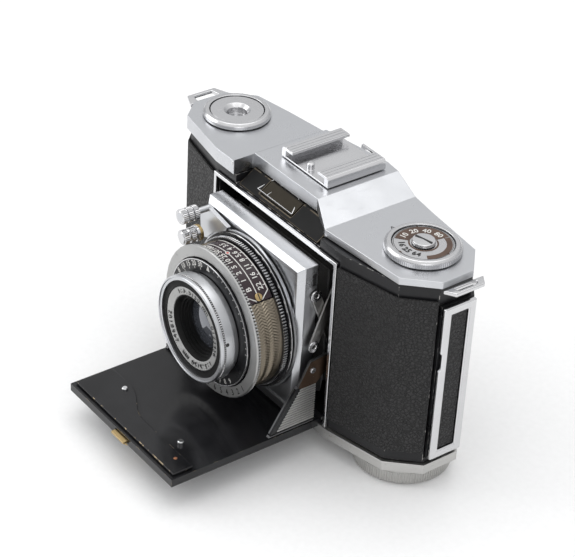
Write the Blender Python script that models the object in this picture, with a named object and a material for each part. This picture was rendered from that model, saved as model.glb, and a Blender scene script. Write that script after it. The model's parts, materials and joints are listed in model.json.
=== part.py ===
"""A folding 35 mm viewfinder camera, with its door open and its lens out, as separate sub-parts.

Every size is in millimetres, and MM turns it into metres. The camera faces -Y, +X is its winding end and
+Z is up. All pieces hang on one empty, "camera", and are measured from three datums: the lens axis (x = 0),
the front plane of the door opening (y = 0) and the underside of the base plate (z = 0). The empty sets
the part's own origin at the middle of the body's depth.
"""

import math

import bmesh
import bpy
import numpy as np
from mathutils import Matrix, Vector

MM = 0.001
GAP = 0.3  # clearance between neighbours that touch, turn or slide on each other
ORIGIN_DEPTH = 19.0  # from the front plane back to the part's origin

# Body, seen from above
RIGHT_END = 60.0
LEFT_END = -57.0
BODY_DEPTH = 37.3
FRONT_FLAT_HALF = 31.0
FRONT_FACE_Y = 0.35
RIGHT_RIDGE_INSET = 8.2  # from the winding end in to the front ridge
LEFT_RIDGE_INSET = 5.8
RIDGE_Y = 5.1
RIGHT_END_FRONT_Y = 14.0
LEFT_END_FRONT_Y = 10.6

# Body, in height
BASE_THICKNESS = 3.5
BODY_TOP = 65.7
LEATHER_LOW = 7.6
LEATHER_HIGH = BODY_TOP - 4.2
LEATHER_THICKNESS = 0.65
CASTING_INSET = LEATHER_THICKNESS + GAP
CASTING_LOW = BASE_THICKNESS + GAP

# Top cover
COVER_WALL = 1.2
COVER_LOW = BODY_TOP + 0.4
RIGHT_PLATE = BODY_TOP + 2.7
LEFT_PLATE = BODY_TOP + 5.0
ROOF = BODY_TOP + 5.9
STEP_X = -20.7  # soft step from the left plate up to the roof
STEP_HALF_WIDTH = 0.6
SLOPE_START_X = 10.7
SLOPE_FOOT_X = 21.0
ROOF_FRONT_Y = 7.5
ROOF_FASCIA_LOW = BODY_TOP + 1.6

# Door opening, its trim and the hollow behind it
TRIM_HALF = 30.4
TRIM_BAR = 1.2
TRIM_LOW = 3.95
TRIM_HIGH = BODY_TOP - 3.0
TRIM_DEPTH = 1.0
HOLLOW_HALF = TRIM_HALF - TRIM_BAR - 0.2
HOLLOW_HIGH = BODY_TOP - 4.0
HOLLOW_LOW = 5.2
HOLLOW_WIDE_Y = 24.6  # the hollow is wide up to here, then narrows to the film gate
HOLLOW_NARROW_HALF = 23.6
GATE_FRONT_Y = 27.6
RAIL_Y = 29.2  # back face of the casting, which the film runs past

# Film path and winding
GATE_WIDTH = 36.0
GATE_HEIGHT = 24.0
GATE_Z = 33.0
WIND_X = RIGHT_END - 16.3
WIND_Y = 19.8
REWIND_X = LEFT_END + 14.3
REWIND_Y = 18.0
CHAMBER_RADIUS = 12.5
CHAMBER_LOW = 6.4
CHAMBER_HIGH = BODY_TOP - 6.7
SHAFT_RADIUS = 2.2
SPOOL_CORE = 5.5
SPOOL_FLANGE = 11.0
KNOB_RADIUS = 14.8
KNOB_HEIGHT = 5.15
KNOB_GAP = 0.6
KNOB_RELIEF = 0.3  # the base plate's underside steps up this far over each knob
BUSH_X = -18.0
BUSH_RADIUS = 5.0
BUSH_BORE_RADIUS = 2.8

# Back door
BACK_LOW = 5.6
BACK_HIGH = BODY_TOP - 6.3
BACK_WALL = 1.1
BACK_END_FRONT_Y = 14.9
BACK_HINGE_X = LEFT_END + 7.4
BACK_HINGE_Y = RAIL_Y + 1.7
BACK_KNUCKLE = 1.4
HINGE_PIN = 0.7
END_FRAME_DEPTH = 1.3
END_FRAME_BAR = 2.7
END_FRAME_BACK_Y = 26.6

# Controls on the top
DIAL_X = RIGHT_END - 15.9
DIAL_Y = 20.0
DIAL_RADIUS = 11.1
DIAL_HEIGHT = 2.3
DIAL_SCREW_RADIUS = 3.5
DIAL_SHANK = 1.3
RELEASE_X = LEFT_END + 13.7
RELEASE_Y = 17.3
COLLAR_RADIUS = 10.6
BUTTON_RADIUS = 8.3
SHOE_CENTRE_X = -3.15
SHOE_GAP = 12.3
SHOE_CHANNEL = 18.7
SHOE_WIDTH = 22.7
SHOE_FRONT_Y = 13.2
SHOE_BACK_Y = 34.8
SHOE_FLOOR = 0.5
SHOE_SLOT_HEIGHT = 1.9
SHOE_LIP = 0.9
LUG_THICKNESS = 1.2

# Lens unit, measured from its axis
LENS_Z = 32.8
STANDARD_HALF = 24.1
STANDARD_FRONT_Y = -7.4
STANDARD_BACK_Y = -1.1
STANDARD_LOW = 6.5
STANDARD_HIGH = 59.5
STANDARD_BAR = 3.0
STANDARD_BEVEL = 1.7
FLANGE_RADIUS = 24.2
LENS_TUBE = 15.0
CASE_RADIUS = 21.3
SLEEVE_WALL = 0.8
TOOTHED_RADIUS = 23.3
SPEED_RING_RADIUS = 23.9
FOCUS_RADIUS = 16.7
NAME_RING_RADIUS = 14.2
GLASS_RADIUS = 10.2

# Door
DOOR_HALF = STANDARD_HALF + 3.5
DOOR_FRONT_Y = -53.0
DOOR_LOW = 3.0
DOOR_HIGH = 5.6
DOOR_HINGE_Y = 1.6
DOOR_HINGE_Z = 5.0
DOOR_KNUCKLE = 1.2
DOOR_PIN = 0.6
LATCH_X = 1.2
GUSSET_THICKNESS = 1.2
ARM_THICKNESS = 0.6
ARM_HALF_WIDTH = 1.6

LARGE_STEPS = 40
SMALL_STEPS = 20

CHROME = ((0.74, 0.75, 0.77), 1.0, 0.28)
POLISHED = ((0.82, 0.82, 0.84), 1.0, 0.12)
ALUMINIUM = ((0.66, 0.66, 0.66), 1.0, 0.42)
BLACK_ENAMEL = ((0.012, 0.012, 0.014), 0.0, 0.32)
BLACK_LEATHER = ((0.022, 0.021, 0.022), 0.0, 0.62)
BLACK_CLOTH = ((0.015, 0.014, 0.014), 0.0, 0.9)
BRASS = ((0.63, 0.48, 0.24), 1.0, 0.3)
BRONZE = ((0.11, 0.075, 0.06), 0.6, 0.42)
SCALE_PURPLE = ((0.06, 0.035, 0.045), 0.3, 0.35)
STEEL = ((0.6, 0.6, 0.6), 1.0, 0.3)
GLASS = ((0.05, 0.06, 0.08), 0.0, 0.05)


def clear_scene():
    for old in list(bpy.data.objects):
        bpy.data.objects.remove(old, do_unlink=True)


def body_plan(outwards=0.0):
    """The body seen from above, anticlockwise, grown outwards (or inwards where it is negative)."""
    points = [
        (-FRONT_FLAT_HALF, FRONT_FACE_Y),
        (FRONT_FLAT_HALF, FRONT_FACE_Y),
        (RIGHT_END - RIGHT_RIDGE_INSET, RIDGE_Y),
        (RIGHT_END, RIGHT_END_FRONT_Y),
        (RIGHT_END, BODY_DEPTH - 10.6),
        (RIGHT_END - 7.8, BODY_DEPTH - 4.6),
        (FRONT_FLAT_HALF, BODY_DEPTH - 2.4),
        (0.0, BODY_DEPTH),
        (-23.0, BODY_DEPTH - 3.0),
        (LEFT_END + 7.0, BODY_DEPTH - 6.9),
        (LEFT_END, BODY_DEPTH - 14.9),
        (LEFT_END, LEFT_END_FRONT_Y),
        (LEFT_END + LEFT_RIDGE_INSET, RIDGE_Y - 0.5),
    ]
    return grown(points, outwards)


def cover_plan(outwards=0.0):
    """The top cover seen from above: its front steps back round the finder."""
    points = [
        (LEFT_END + 0.3, LEFT_END_FRONT_Y - 0.3),
        (LEFT_END + 6.0, RIDGE_Y - 1.1),
        (-FRONT_FLAT_HALF + 1.0, FRONT_FACE_Y - 0.1),
        (STEP_X, FRONT_FACE_Y - 0.1),
        (STEP_X - 0.1, ROOF_FRONT_Y - 0.1),
        (SLOPE_START_X, ROOF_FRONT_Y + 0.2),
        (SLOPE_FOOT_X, FRONT_FACE_Y + 2.4),
        (RIGHT_END - 8.1, RIDGE_Y),
        (RIGHT_END + 0.3, RIGHT_END_FRONT_Y),
        (RIGHT_END, BODY_DEPTH - 11.9),
        (RIGHT_END - 7.8, BODY_DEPTH - 4.7),
        (FRONT_FLAT_HALF, BODY_DEPTH - 2.4),
        (SLOPE_START_X, BODY_DEPTH + 0.4),
        (5.0, BODY_DEPTH + 1.0),
        (-23.0, BODY_DEPTH - 3.4),
        (-36.0, BODY_DEPTH - 5.0),
        (LEFT_END + 7.2, BODY_DEPTH - 7.3),
        (LEFT_END, BODY_DEPTH - 14.9),
    ]
    return grown(points, outwards)


def grown(points, outwards):
    """An anticlockwise outline with every edge moved outwards by the same distance."""
    if outwards == 0.0:
        return points
    corners = [Vector(point) for point in points]
    moved = []
    for index, corner in enumerate(corners):
        before = (corner - corners[index - 1]).normalized()
        after = (corners[(index + 1) % len(corners)] - corner).normalized()
        normal_before = Vector((before.y, -before.x))
        normal_after = Vector((after.y, -after.x))
        middle = (normal_before + normal_after) / (1.0 + normal_before.dot(normal_after))
        moved.append(tuple(corner + middle * outwards))
    return moved


def prism(outline, low, high, axis="Z"):
    """A closed mesh: an outline drawn out along axis. Across X it is (y, z) and across Y it is (x, z)."""
    place = {
        "X": lambda a, b, c: (c, a, b),
        "Y": lambda a, b, c: (a, c, b),
        "Z": lambda a, b, c: (a, b, c),
    }[axis]
    mesh = bmesh.new()
    face = mesh.faces.new([mesh.verts.new(place(a, b, low)) for a, b in outline])
    drawn = bmesh.ops.extrude_face_region(mesh, geom=[face])["geom"]
    way = Vector(place(0.0, 0.0, high - low))
    bmesh.ops.translate(mesh, verts=[item for item in drawn if isinstance(item, bmesh.types.BMVert)], vec=way)
    bmesh.ops.recalc_face_normals(mesh, faces=mesh.faces)
    return mesh


def box(low, high):
    mesh = bmesh.new()
    bmesh.ops.create_cube(mesh, size=1.0)
    low = Vector(low)
    high = Vector(high)
    bmesh.ops.scale(mesh, verts=mesh.verts, vec=high - low)
    bmesh.ops.translate(mesh, verts=mesh.verts, vec=(low + high) / 2)
    return mesh


def turned(profile, centre=(0.0, 0.0, 0.0), axis="Z", steps=LARGE_STEPS):
    """A closed (radius, distance along axis) profile turned round an axis through centre."""
    mesh = bmesh.new()
    ring = [mesh.verts.new((radius, 0.0, along)) for radius, along in profile]
    edges = [mesh.edges.new((start, ring[(i + 1) % len(ring)])) for i, start in enumerate(ring)]
    bmesh.ops.spin(
        mesh,
        geom=ring + edges,
        cent=(0, 0, 0),
        axis=(0, 0, 1),
        angle=math.tau,
        steps=steps,
        use_merge=True,
    )
    bmesh.ops.remove_doubles(mesh, verts=mesh.verts, dist=0.0001)
    bmesh.ops.recalc_face_normals(mesh, faces=mesh.faces)
    turn = {
        "X": Matrix.Rotation(math.pi / 2, 3, "Y"),
        "Y": Matrix.Rotation(-math.pi / 2, 3, "X"),
        "Z": Matrix.Identity(3),
    }[axis]
    bmesh.ops.rotate(mesh, verts=mesh.verts, cent=(0, 0, 0), matrix=turn)
    bmesh.ops.translate(mesh, verts=mesh.verts, vec=centre)
    return mesh


def rod(radius, low, high, centre=(0.0, 0.0, 0.0), axis="Z", steps=SMALL_STEPS):
    return turned([(0.0, low), (radius, low), (radius, high), (0.0, high)], centre, axis, steps)


def ring(inner, outer, low, high, centre=(0.0, 0.0, 0.0), axis="Z", steps=LARGE_STEPS):
    return turned([(inner, low), (outer, low), (outer, high), (inner, high)], centre, axis, steps)


def lens_rod(radius, front, back, steps=LARGE_STEPS):
    return rod(radius, front, back, (0.0, 0.0, LENS_Z), "Y", steps)


def lens_ring(inner, outer, front, back, steps=LARGE_STEPS):
    return ring(inner, outer, front, back, (0.0, 0.0, LENS_Z), "Y", steps)


def arc_plate(inner, outer, first, last, front, back, pieces=12):
    """A plate bent round the lens axis, from the first to the last angle in degrees."""
    angles = [math.radians(first + (last - first) * i / pieces) for i in range(pieces + 1)]
    outside = [(outer * math.cos(a), LENS_Z + outer * math.sin(a)) for a in angles]
    inside = [(inner * math.cos(a), LENS_Z + inner * math.sin(a)) for a in reversed(angles)]
    return prism(outside + inside, front, back, "Y")


def new_object(name, mesh, finish, pivot=(0.0, 0.0, 0.0)):
    """One sub-part: the mesh is in datum millimetres and its origin goes to the pivot."""
    bmesh.ops.translate(mesh, verts=mesh.verts, vec=-Vector(pivot))
    bmesh.ops.scale(mesh, verts=mesh.verts, vec=(MM, MM, MM))
    data = bpy.data.meshes.new(name)
    mesh.to_mesh(data)
    mesh.free()
    data.shade_smooth()
    data.set_sharp_from_angle(angle=math.radians(35.0))
    made = bpy.data.objects.new(name, data)
    bpy.context.scene.collection.objects.link(made)
    made.parent = CAMERA
    made.location = Vector(pivot) * MM
    if finish:
        colour, metallic, roughness = finish
        surface = bpy.data.materials.new(name)
        surface.use_nodes = True
        shader = surface.node_tree.nodes["Principled BSDF"]
        shader.inputs["Base Color"].default_value = (*colour, 1.0)
        shader.inputs["Metallic"].default_value = metallic
        shader.inputs["Roughness"].default_value = roughness
        data.materials.append(surface)
    return made


def combine(target, mesh, operation):
    helper = new_object(f"{target.name}_{operation.lower()}_{len(target.modifiers)}", mesh, None)
    helper.hide_render = True
    helper.display_type = "WIRE"
    change = target.modifiers.new(helper.name, "BOOLEAN")
    change.operation = operation
    change.object = helper


def cut(target, *meshes):
    for mesh in meshes:
        combine(target, mesh, "DIFFERENCE")


def join(target, *meshes):
    for mesh in meshes:
        combine(target, mesh, "UNION")


def clip(target, mesh):
    combine(target, mesh, "INTERSECT")


def bevel(target, width, segments=1, angle=50.0):
    rounded = target.modifiers.new("edges", "BEVEL")
    rounded.width = width * MM
    rounded.segments = segments
    rounded.limit_method = "ANGLE"
    rounded.angle_limit = math.radians(angle)


def pair(function):
    """Makes the right-hand sub-part and its mirror image on the left."""
    for side, word in ((1, "right"), (-1, "left")):
        function(side, word)


# ---------------------------------------------------------------- body


def make_body_casting():
    casting = new_object(
        "body_casting", prism(body_plan(-CASTING_INSET), CASTING_LOW, BODY_TOP), BLACK_ENAMEL
    )
    far = BODY_DEPTH + 20.0
    end_front, end_back, ridge = body_plan(-BACK_WALL - GAP)[3:6]
    meet_x = np.interp(RAIL_Y, [end_back[1], ridge[1]], [end_back[0], ridge[0]])
    back_room = [(LEFT_END - 9, RAIL_Y), (meet_x, RAIL_Y), end_back, (end_front[0], BACK_END_FRONT_Y - GAP)]
    back_room += [(RIGHT_END + 9, BACK_END_FRONT_Y - GAP), (RIGHT_END + 9, far), (LEFT_END - 9, far)]
    finder_low = HOLLOW_HIGH + COVER_WALL
    cut(
        casting,
        prism(back_room, BACK_LOW - GAP, BACK_HIGH + GAP),
        box((-HOLLOW_HALF, -9, HOLLOW_LOW), (HOLLOW_HALF, HOLLOW_WIDE_Y, HOLLOW_HIGH)),
        box((-HOLLOW_NARROW_HALF, 9, HOLLOW_LOW + 4), (HOLLOW_NARROW_HALF, GATE_FRONT_Y, HOLLOW_HIGH - 4)),
        box((-DOOR_HALF - 0.7, -9, 0), (DOOR_HALF + 0.7, DOOR_HINGE_Y + DOOR_KNUCKLE + GAP, HOLLOW_LOW + 3)),
        box(
            (-GATE_WIDTH / 2, GATE_FRONT_Y - 5, GATE_Z - GATE_HEIGHT / 2),
            (GATE_WIDTH / 2, RAIL_Y + 5, GATE_Z + GATE_HEIGHT / 2),
        ),
        rod(CHAMBER_RADIUS, CHAMBER_LOW, CHAMBER_HIGH, (WIND_X, WIND_Y, 0), steps=32),
        rod(CHAMBER_RADIUS, CHAMBER_LOW, CHAMBER_HIGH, (REWIND_X, REWIND_Y, 0), steps=32),
        rod(SHAFT_RADIUS + GAP, 0, CHAMBER_LOW + 2, (WIND_X, WIND_Y, 0)),
        rod(SHAFT_RADIUS + GAP, 0, CHAMBER_LOW + 2, (REWIND_X, REWIND_Y, 0)),
        box((STEP_X, -9, finder_low), (SLOPE_FOOT_X, BODY_DEPTH - 5, BODY_TOP + 9)),
    )


def make_base_plate():
    plate = new_object("base_plate", prism(body_plan(0.2), 0.0, BASE_THICKNESS), ALUMINIUM)
    cut(
        plate,
        rod(SHAFT_RADIUS + GAP, -5, BASE_THICKNESS + 5, (WIND_X, WIND_Y, 0)),
        rod(SHAFT_RADIUS + GAP, -5, BASE_THICKNESS + 5, (REWIND_X, REWIND_Y, 0)),
        rod(BUSH_RADIUS + GAP, -5, BASE_THICKNESS + 5, (BUSH_X, REWIND_Y, 0)),
        box((WIND_X - KNOB_RADIUS - 1.4, -9, -5), (RIGHT_END + 9, BODY_DEPTH + 9, KNOB_RELIEF)),
        box((LEFT_END - 9, -9, -5), (REWIND_X + KNOB_RADIUS + 1.4, BODY_DEPTH + 9, KNOB_RELIEF)),
    )


def make_tripod_bush():
    bush = ring(BUSH_BORE_RADIUS, BUSH_RADIUS, 0.0, BASE_THICKNESS, (BUSH_X, REWIND_Y, 0), steps=SMALL_STEPS)
    new_object("tripod_bush", bush, STEEL)


def make_top_cover():
    """A pressed shell: the plan drawn up to a top that steps at the roof and slopes off its right side."""

    def solid(outwards, low, drop):
        mesh = prism(cover_plan(outwards), low, ROOF)
        steps_x = [STEP_X - STEP_HALF_WIDTH, STEP_X + STEP_HALF_WIDTH, SLOPE_START_X, SLOPE_FOOT_X]
        for x in steps_x:
            everything = mesh.verts[:] + mesh.edges[:] + mesh.faces[:]
            across = {"plane_co": (x, 0, 0), "plane_no": (1, 0, 0)}
            bmesh.ops.bisect_plane(mesh, geom=everything, dist=0.0001, **across)
        for vertex in mesh.verts:
            if vertex.co.z > low + 0.1:
                vertex.co.z = np.interp(vertex.co.x, steps_x, [LEFT_PLATE, ROOF, ROOF, RIGHT_PLATE]) - drop
        return mesh

    cover = new_object("top_cover", solid(0.0, COVER_LOW, 0.0), CHROME)
    eyepiece = (SHOE_CENTRE_X, BODY_DEPTH - 3.5, ROOF - 2.7)
    release = (RELEASE_X, RELEASE_Y, 0)
    cut(
        cover,
        solid(-COVER_WALL, COVER_LOW - 1, COVER_WALL),
        box((STEP_X + 1, -9, COVER_LOW - 1), (SLOPE_FOOT_X - 1.4, ROOF_FRONT_Y + 1.6, ROOF_FASCIA_LOW)),
        rod(BUTTON_RADIUS + 0.6, LEFT_PLATE - 3, LEFT_PLATE + 3, release, steps=LARGE_STEPS),
        rod(DIAL_SHANK + GAP, RIGHT_PLATE - 3, RIGHT_PLATE + 3, (DIAL_X, DIAL_Y, 0)),
        box(
            (eyepiece[0] - 3.2, eyepiece[1], eyepiece[2] - 1.5),
            (eyepiece[0] + 3.2, eyepiece[1] + 9, eyepiece[2] + 1.5),
        ),
    )


def make_door_trim():
    """A polished strip round the door opening, open along the bottom where the door hinges."""
    inner = TRIM_HALF - TRIM_BAR
    outline = [
        (-TRIM_HALF, TRIM_LOW),
        (-inner, TRIM_LOW),
        (-inner, TRIM_HIGH - TRIM_BAR),
        (inner, TRIM_HIGH - TRIM_BAR),
        (inner, TRIM_LOW),
        (TRIM_HALF, TRIM_LOW),
        (TRIM_HALF, TRIM_HIGH),
        (-TRIM_HALF, TRIM_HIGH),
    ]
    new_object("door_trim", prism(outline, 0.0, TRIM_DEPTH, "Y"), POLISHED)


def make_front_leathers():
    for word, low, high in (
        ("right", (TRIM_HALF + GAP, -9), (RIGHT_END + 9, RIGHT_END_FRONT_Y - 0.4)),
        ("left", (LEFT_END - 9, -9), (-TRIM_HALF - GAP, RAIL_Y - 1)),
    ):
        skin = prism(body_plan(), LEATHER_LOW, LEATHER_HIGH)
        leather = new_object(f"front_leather_{word}", skin, BLACK_LEATHER)
        cut(leather, prism(body_plan(-LEATHER_THICKNESS), 0, BODY_TOP))
        clip(leather, box((*low, LEATHER_LOW - 2), (*high, LEATHER_HIGH + 2)))


def make_strap_lugs():
    """Flat wire loops, the left one at the cover's side and the right one just under the cover."""
    for word, near, far, front, back, top in (
        ("left", LEFT_END - GAP, LEFT_END - 5.5, LEFT_END_FRONT_Y - 1.0, BODY_DEPTH - 13.1, LEFT_PLATE - 0.8),
        ("right", RIGHT_END + 0.6, RIGHT_END + 3.9, RIGHT_END_FRONT_Y, BODY_DEPTH - 8.6, COVER_LOW - GAP),
    ):
        way = 1 if far > near else -1
        outline = [(near, front), (far, front + 2.2), (far, back - 2.2), (near, back)]
        slot = [
            (near + way * 0.9, front + 3.2),
            (far - way * 1.2, front + 3.9),
            (far - way * 1.2, back - 3.9),
            (near + way * 0.9, back - 3.2),
        ]
        lug = new_object(f"strap_lug_{word}", prism(outline, top - LUG_THICKNESS, top), CHROME)
        cut(lug, prism(slot, top - 5, top + 5))


# ---------------------------------------------------------------- finder


def make_finder():
    """A black mask sloping from the roof down to the door trim, its window, a tube and the eyepiece."""
    low = HOLLOW_HIGH + COVER_WALL + GAP
    front_y = TRIM_DEPTH + GAP + 0.2
    sloped = [
        (front_y, low),
        (ROOF_FRONT_Y - 0.5, ROOF_FASCIA_LOW - GAP),
        (ROOF_FRONT_Y + 1.6, ROOF_FASCIA_LOW - GAP),
        (ROOF_FRONT_Y + 1.6, low),
    ]
    window_left = -10.8
    window_right = 5.2
    window_low = low + 0.7
    wedge = prism(sloped, STEP_X + GAP + 0.9, SLOPE_FOOT_X - GAP - 1.5, "X")
    mask = new_object("finder_mask", wedge, BLACK_ENAMEL)
    cut(mask, box((window_left, -9, window_low), (window_right, 20, ROOF_FASCIA_LOW + 9)))
    rise = (ROOF_FASCIA_LOW - GAP - low) / (ROOF_FRONT_Y - 0.5 - front_y)
    glass_low = window_low + GAP
    glass_high = ROOF_FASCIA_LOW - GAP
    glass = [
        (front_y + (glass_low - low) / rise, glass_low),
        (front_y + (glass_high - low) / rise, glass_high),
        (front_y + (glass_high - low) / rise + 1.2, glass_high),
        (front_y + (glass_low - low) / rise + 1.2, glass_low),
    ]
    new_object("finder_window", prism(glass, window_left + GAP, window_right - GAP, "X"), GLASS)

    tube_front = ROOF_FRONT_Y + 1.6 + GAP
    tube_back = BODY_DEPTH - 5.8
    tube_high = ROOF - COVER_WALL - GAP
    tube = new_object(
        "finder_tube", box((window_left, tube_front, low), (window_right, tube_back, tube_high)), BLACK_ENAMEL
    )
    bore_low = (window_left + 1, tube_front - 5, low + 0.8)
    cut(tube, box(bore_low, (window_right - 1, tube_back + 5, tube_high - 0.8)))
    new_object(
        "finder_rear_lens",
        box(
            (SHOE_CENTRE_X - 3, tube_back - 3, low + 0.8 + GAP),
            (SHOE_CENTRE_X + 3, tube_back - 1, tube_high - 0.8 - GAP),
        ),
        GLASS,
    )
    plate_y = BODY_DEPTH + 1.0 + GAP
    plate = box((SHOE_CENTRE_X - 5, plate_y, ROOF - 4.9), (SHOE_CENTRE_X + 5, plate_y + 0.8, ROOF - 0.5))
    frame = new_object("eyepiece_frame", plate, CHROME)
    opening_low = (SHOE_CENTRE_X - 3.2, plate_y - 5, ROOF - 4.2)
    cut(frame, box(opening_low, (SHOE_CENTRE_X + 3.2, plate_y + 5, ROOF - 1.2)))


# ---------------------------------------------------------------- controls on the top


def make_accessory_shoe():
    """A C-shaped strip: a floor with two lips turned in over it."""
    half = SHOE_WIDTH / 2
    channel = SHOE_CHANNEL / 2
    lip = SHOE_GAP / 2
    low = ROOF + GAP
    floor = low + SHOE_FLOOR
    under = floor + SHOE_SLOT_HEIGHT
    top = under + SHOE_LIP
    right_side = [(half, low), (half, top - 0.7), (half - 0.7, top), (lip, top), (lip, under)]
    right_side += [(channel, under), (channel, floor)]
    left_side = [(-x, z) for x, z in reversed(right_side)]
    outline = [(SHOE_CENTRE_X + x, z) for x, z in right_side + left_side]
    shoe = new_object("accessory_shoe", prism(outline, SHOE_FRONT_Y, SHOE_BACK_Y, "Y"), CHROME)
    stop_stud = [(0, low + 0.2), (1.2, low + 0.2), (1.2, floor + 1.6), (0.8, floor + 2.0), (0, floor + 2.0)]
    join(shoe, turned(stop_stud, (SHOE_CENTRE_X, SHOE_FRONT_Y + 2.3, 0), steps=SMALL_STEPS))


def make_reminder_dial():
    centre = (DIAL_X, DIAL_Y, 0)
    low = RIGHT_PLATE + GAP
    high = low + DIAL_HEIGHT
    rim_inner = DIAL_RADIUS - 1.9
    new_object(
        "dial_rim",
        turned(
            [
                (rim_inner, low),
                (DIAL_RADIUS, low),
                (DIAL_RADIUS, high - 0.7),
                (DIAL_RADIUS - 0.7, high),
                (rim_inner, high),
            ],
            centre,
        ),
        CHROME,
        pivot=centre,
    )
    face = high - 0.5
    new_object(
        "dial_disc", ring(DIAL_SHANK + GAP, rim_inner - GAP, low, face, centre), BRONZE, pivot=centre
    )
    screw_low = face + GAP
    new_object(
        "dial_screw",
        turned(
            [
                (0, RIGHT_PLATE - 2),
                (DIAL_SHANK, RIGHT_PLATE - 2),
                (DIAL_SHANK, screw_low),
                (DIAL_SCREW_RADIUS, screw_low),
                (DIAL_SCREW_RADIUS - 0.2, screw_low + 0.9),
                (0, screw_low + 1.1),
            ],
            centre,
            steps=24,
        ),
        POLISHED,
        pivot=centre,
    )


def make_release():
    centre = (RELEASE_X, RELEASE_Y, 0)
    collar_low = LEFT_PLATE + GAP
    collar_high = collar_low + 1.9
    collar_inner = BUTTON_RADIUS + GAP
    new_object(
        "release_collar",
        turned(
            [
                (collar_inner, collar_low),
                (COLLAR_RADIUS, collar_low),
                (COLLAR_RADIUS, collar_high - 0.8),
                (COLLAR_RADIUS - 0.8, collar_high),
                (collar_inner, collar_high),
            ],
            centre,
        ),
        CHROME,
    )
    top = collar_high - 0.3
    under = BODY_TOP + 4.8
    new_object(
        "release_button",
        turned(
            [
                (0, BODY_TOP + 2.2),
                (3.6, BODY_TOP + 2.2),
                (3.6, under),
                (BUTTON_RADIUS, under),
                (BUTTON_RADIUS, top),
                (4.2, top),
                (3.0, top - 1.0),
                (3.0, top - 3.0),
                (0, top - 3.0),
            ],
            centre,
        ),
        CHROME,
        pivot=centre,
    )


def make_release_spring():
    """A plain coil round the button's hub, standing on the casting."""
    wire = 0.3
    radius = 4.6
    turns = 3
    low = BODY_TOP + GAP + wire
    high = BODY_TOP + 4.8 - GAP - wire
    curve = bpy.data.curves.new("release_spring", "CURVE")
    curve.dimensions = "3D"
    curve.bevel_depth = wire * MM
    curve.bevel_resolution = 1
    curve.use_fill_caps = True
    spline = curve.splines.new("POLY")
    count = turns * 12
    spline.points.add(count)
    for i, point in enumerate(spline.points):
        angle = math.tau * i / 12
        height = low + (high - low) * i / count
        point.co = (radius * math.cos(angle) * MM, radius * math.sin(angle) * MM, height * MM, 1.0)
    spring = bpy.data.objects.new("release_spring", curve)
    bpy.context.scene.collection.objects.link(spring)
    spring.parent = CAMERA
    spring.location = (RELEASE_X * MM, RELEASE_Y * MM, 0.0)
    steel = bpy.data.materials.new("release_spring")
    steel.use_nodes = True
    steel.node_tree.nodes["Principled BSDF"].inputs["Metallic"].default_value = 1.0
    curve.materials.append(steel)


# ---------------------------------------------------------------- winding


def make_knob(name, x, y):
    high = -KNOB_GAP
    low = high - KNOB_HEIGHT
    profile = [
        (0, low),
        (KNOB_RADIUS - 0.9, low),
        (KNOB_RADIUS, low + 0.8),
        (KNOB_RADIUS, high),
        (SHAFT_RADIUS + GAP, high),
        (SHAFT_RADIUS + GAP, high - 3.0),
        (0, high - 3.0),
    ]
    new_object(name, turned(profile, (x, y, 0)), ALUMINIUM, pivot=(x, y, 0))
    return high - 3.0 + GAP


def make_winding():
    shaft_low = make_knob("winding_knob", WIND_X, WIND_Y)
    centre = (WIND_X, WIND_Y, 0)
    new_object("winding_shaft", rod(SHAFT_RADIUS, shaft_low, CHAMBER_HIGH - 1.5, centre), STEEL, pivot=centre)
    low = CHAMBER_LOW + GAP
    high = CHAMBER_HIGH - GAP
    spool = new_object(
        "take_up_spool",
        turned(
            [
                (SHAFT_RADIUS + GAP, low),
                (SPOOL_FLANGE, low),
                (SPOOL_FLANGE, low + 1.2),
                (SPOOL_CORE, low + 1.2),
                (SPOOL_CORE, high - 1.2),
                (SPOOL_FLANGE, high - 1.2),
                (SPOOL_FLANGE, high),
                (SHAFT_RADIUS + GAP, high),
            ],
            centre,
            steps=24,
        ),
        BLACK_ENAMEL,
        pivot=centre,
    )
    slot = (WIND_X - 0.8, WIND_Y, low + 15)
    cut(spool, box(slot, (WIND_X + 0.8, WIND_Y + SPOOL_FLANGE, high - 15)))


def make_rewind():
    shaft_low = make_knob("rewind_knob", REWIND_X, REWIND_Y)
    centre = (REWIND_X, REWIND_Y, 0)
    stem = rod(SHAFT_RADIUS, shaft_low, CHAMBER_LOW + 4.0, centre)
    fork = new_object("rewind_fork", stem, STEEL, pivot=centre)
    blade_low = (REWIND_X - 4, REWIND_Y - 0.6, CHAMBER_LOW + 2)
    join(fork, box(blade_low, (REWIND_X + 4, REWIND_Y + 0.6, CHAMBER_LOW + 6.5)))


# ---------------------------------------------------------------- back door


def back_skin(name, finish, inner, outer, low, high, left, right, pivot):
    """A wall that follows the back of the body between two offsets of its plan."""
    skin = new_object(name, prism(body_plan(outer), low, high), finish, pivot=pivot)
    cut(skin, prism(body_plan(inner), low - 5, high + 5))
    clip(skin, box((left, -9, low - 2), (right, BODY_DEPTH + 9, high + 2)))
    return skin


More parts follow.
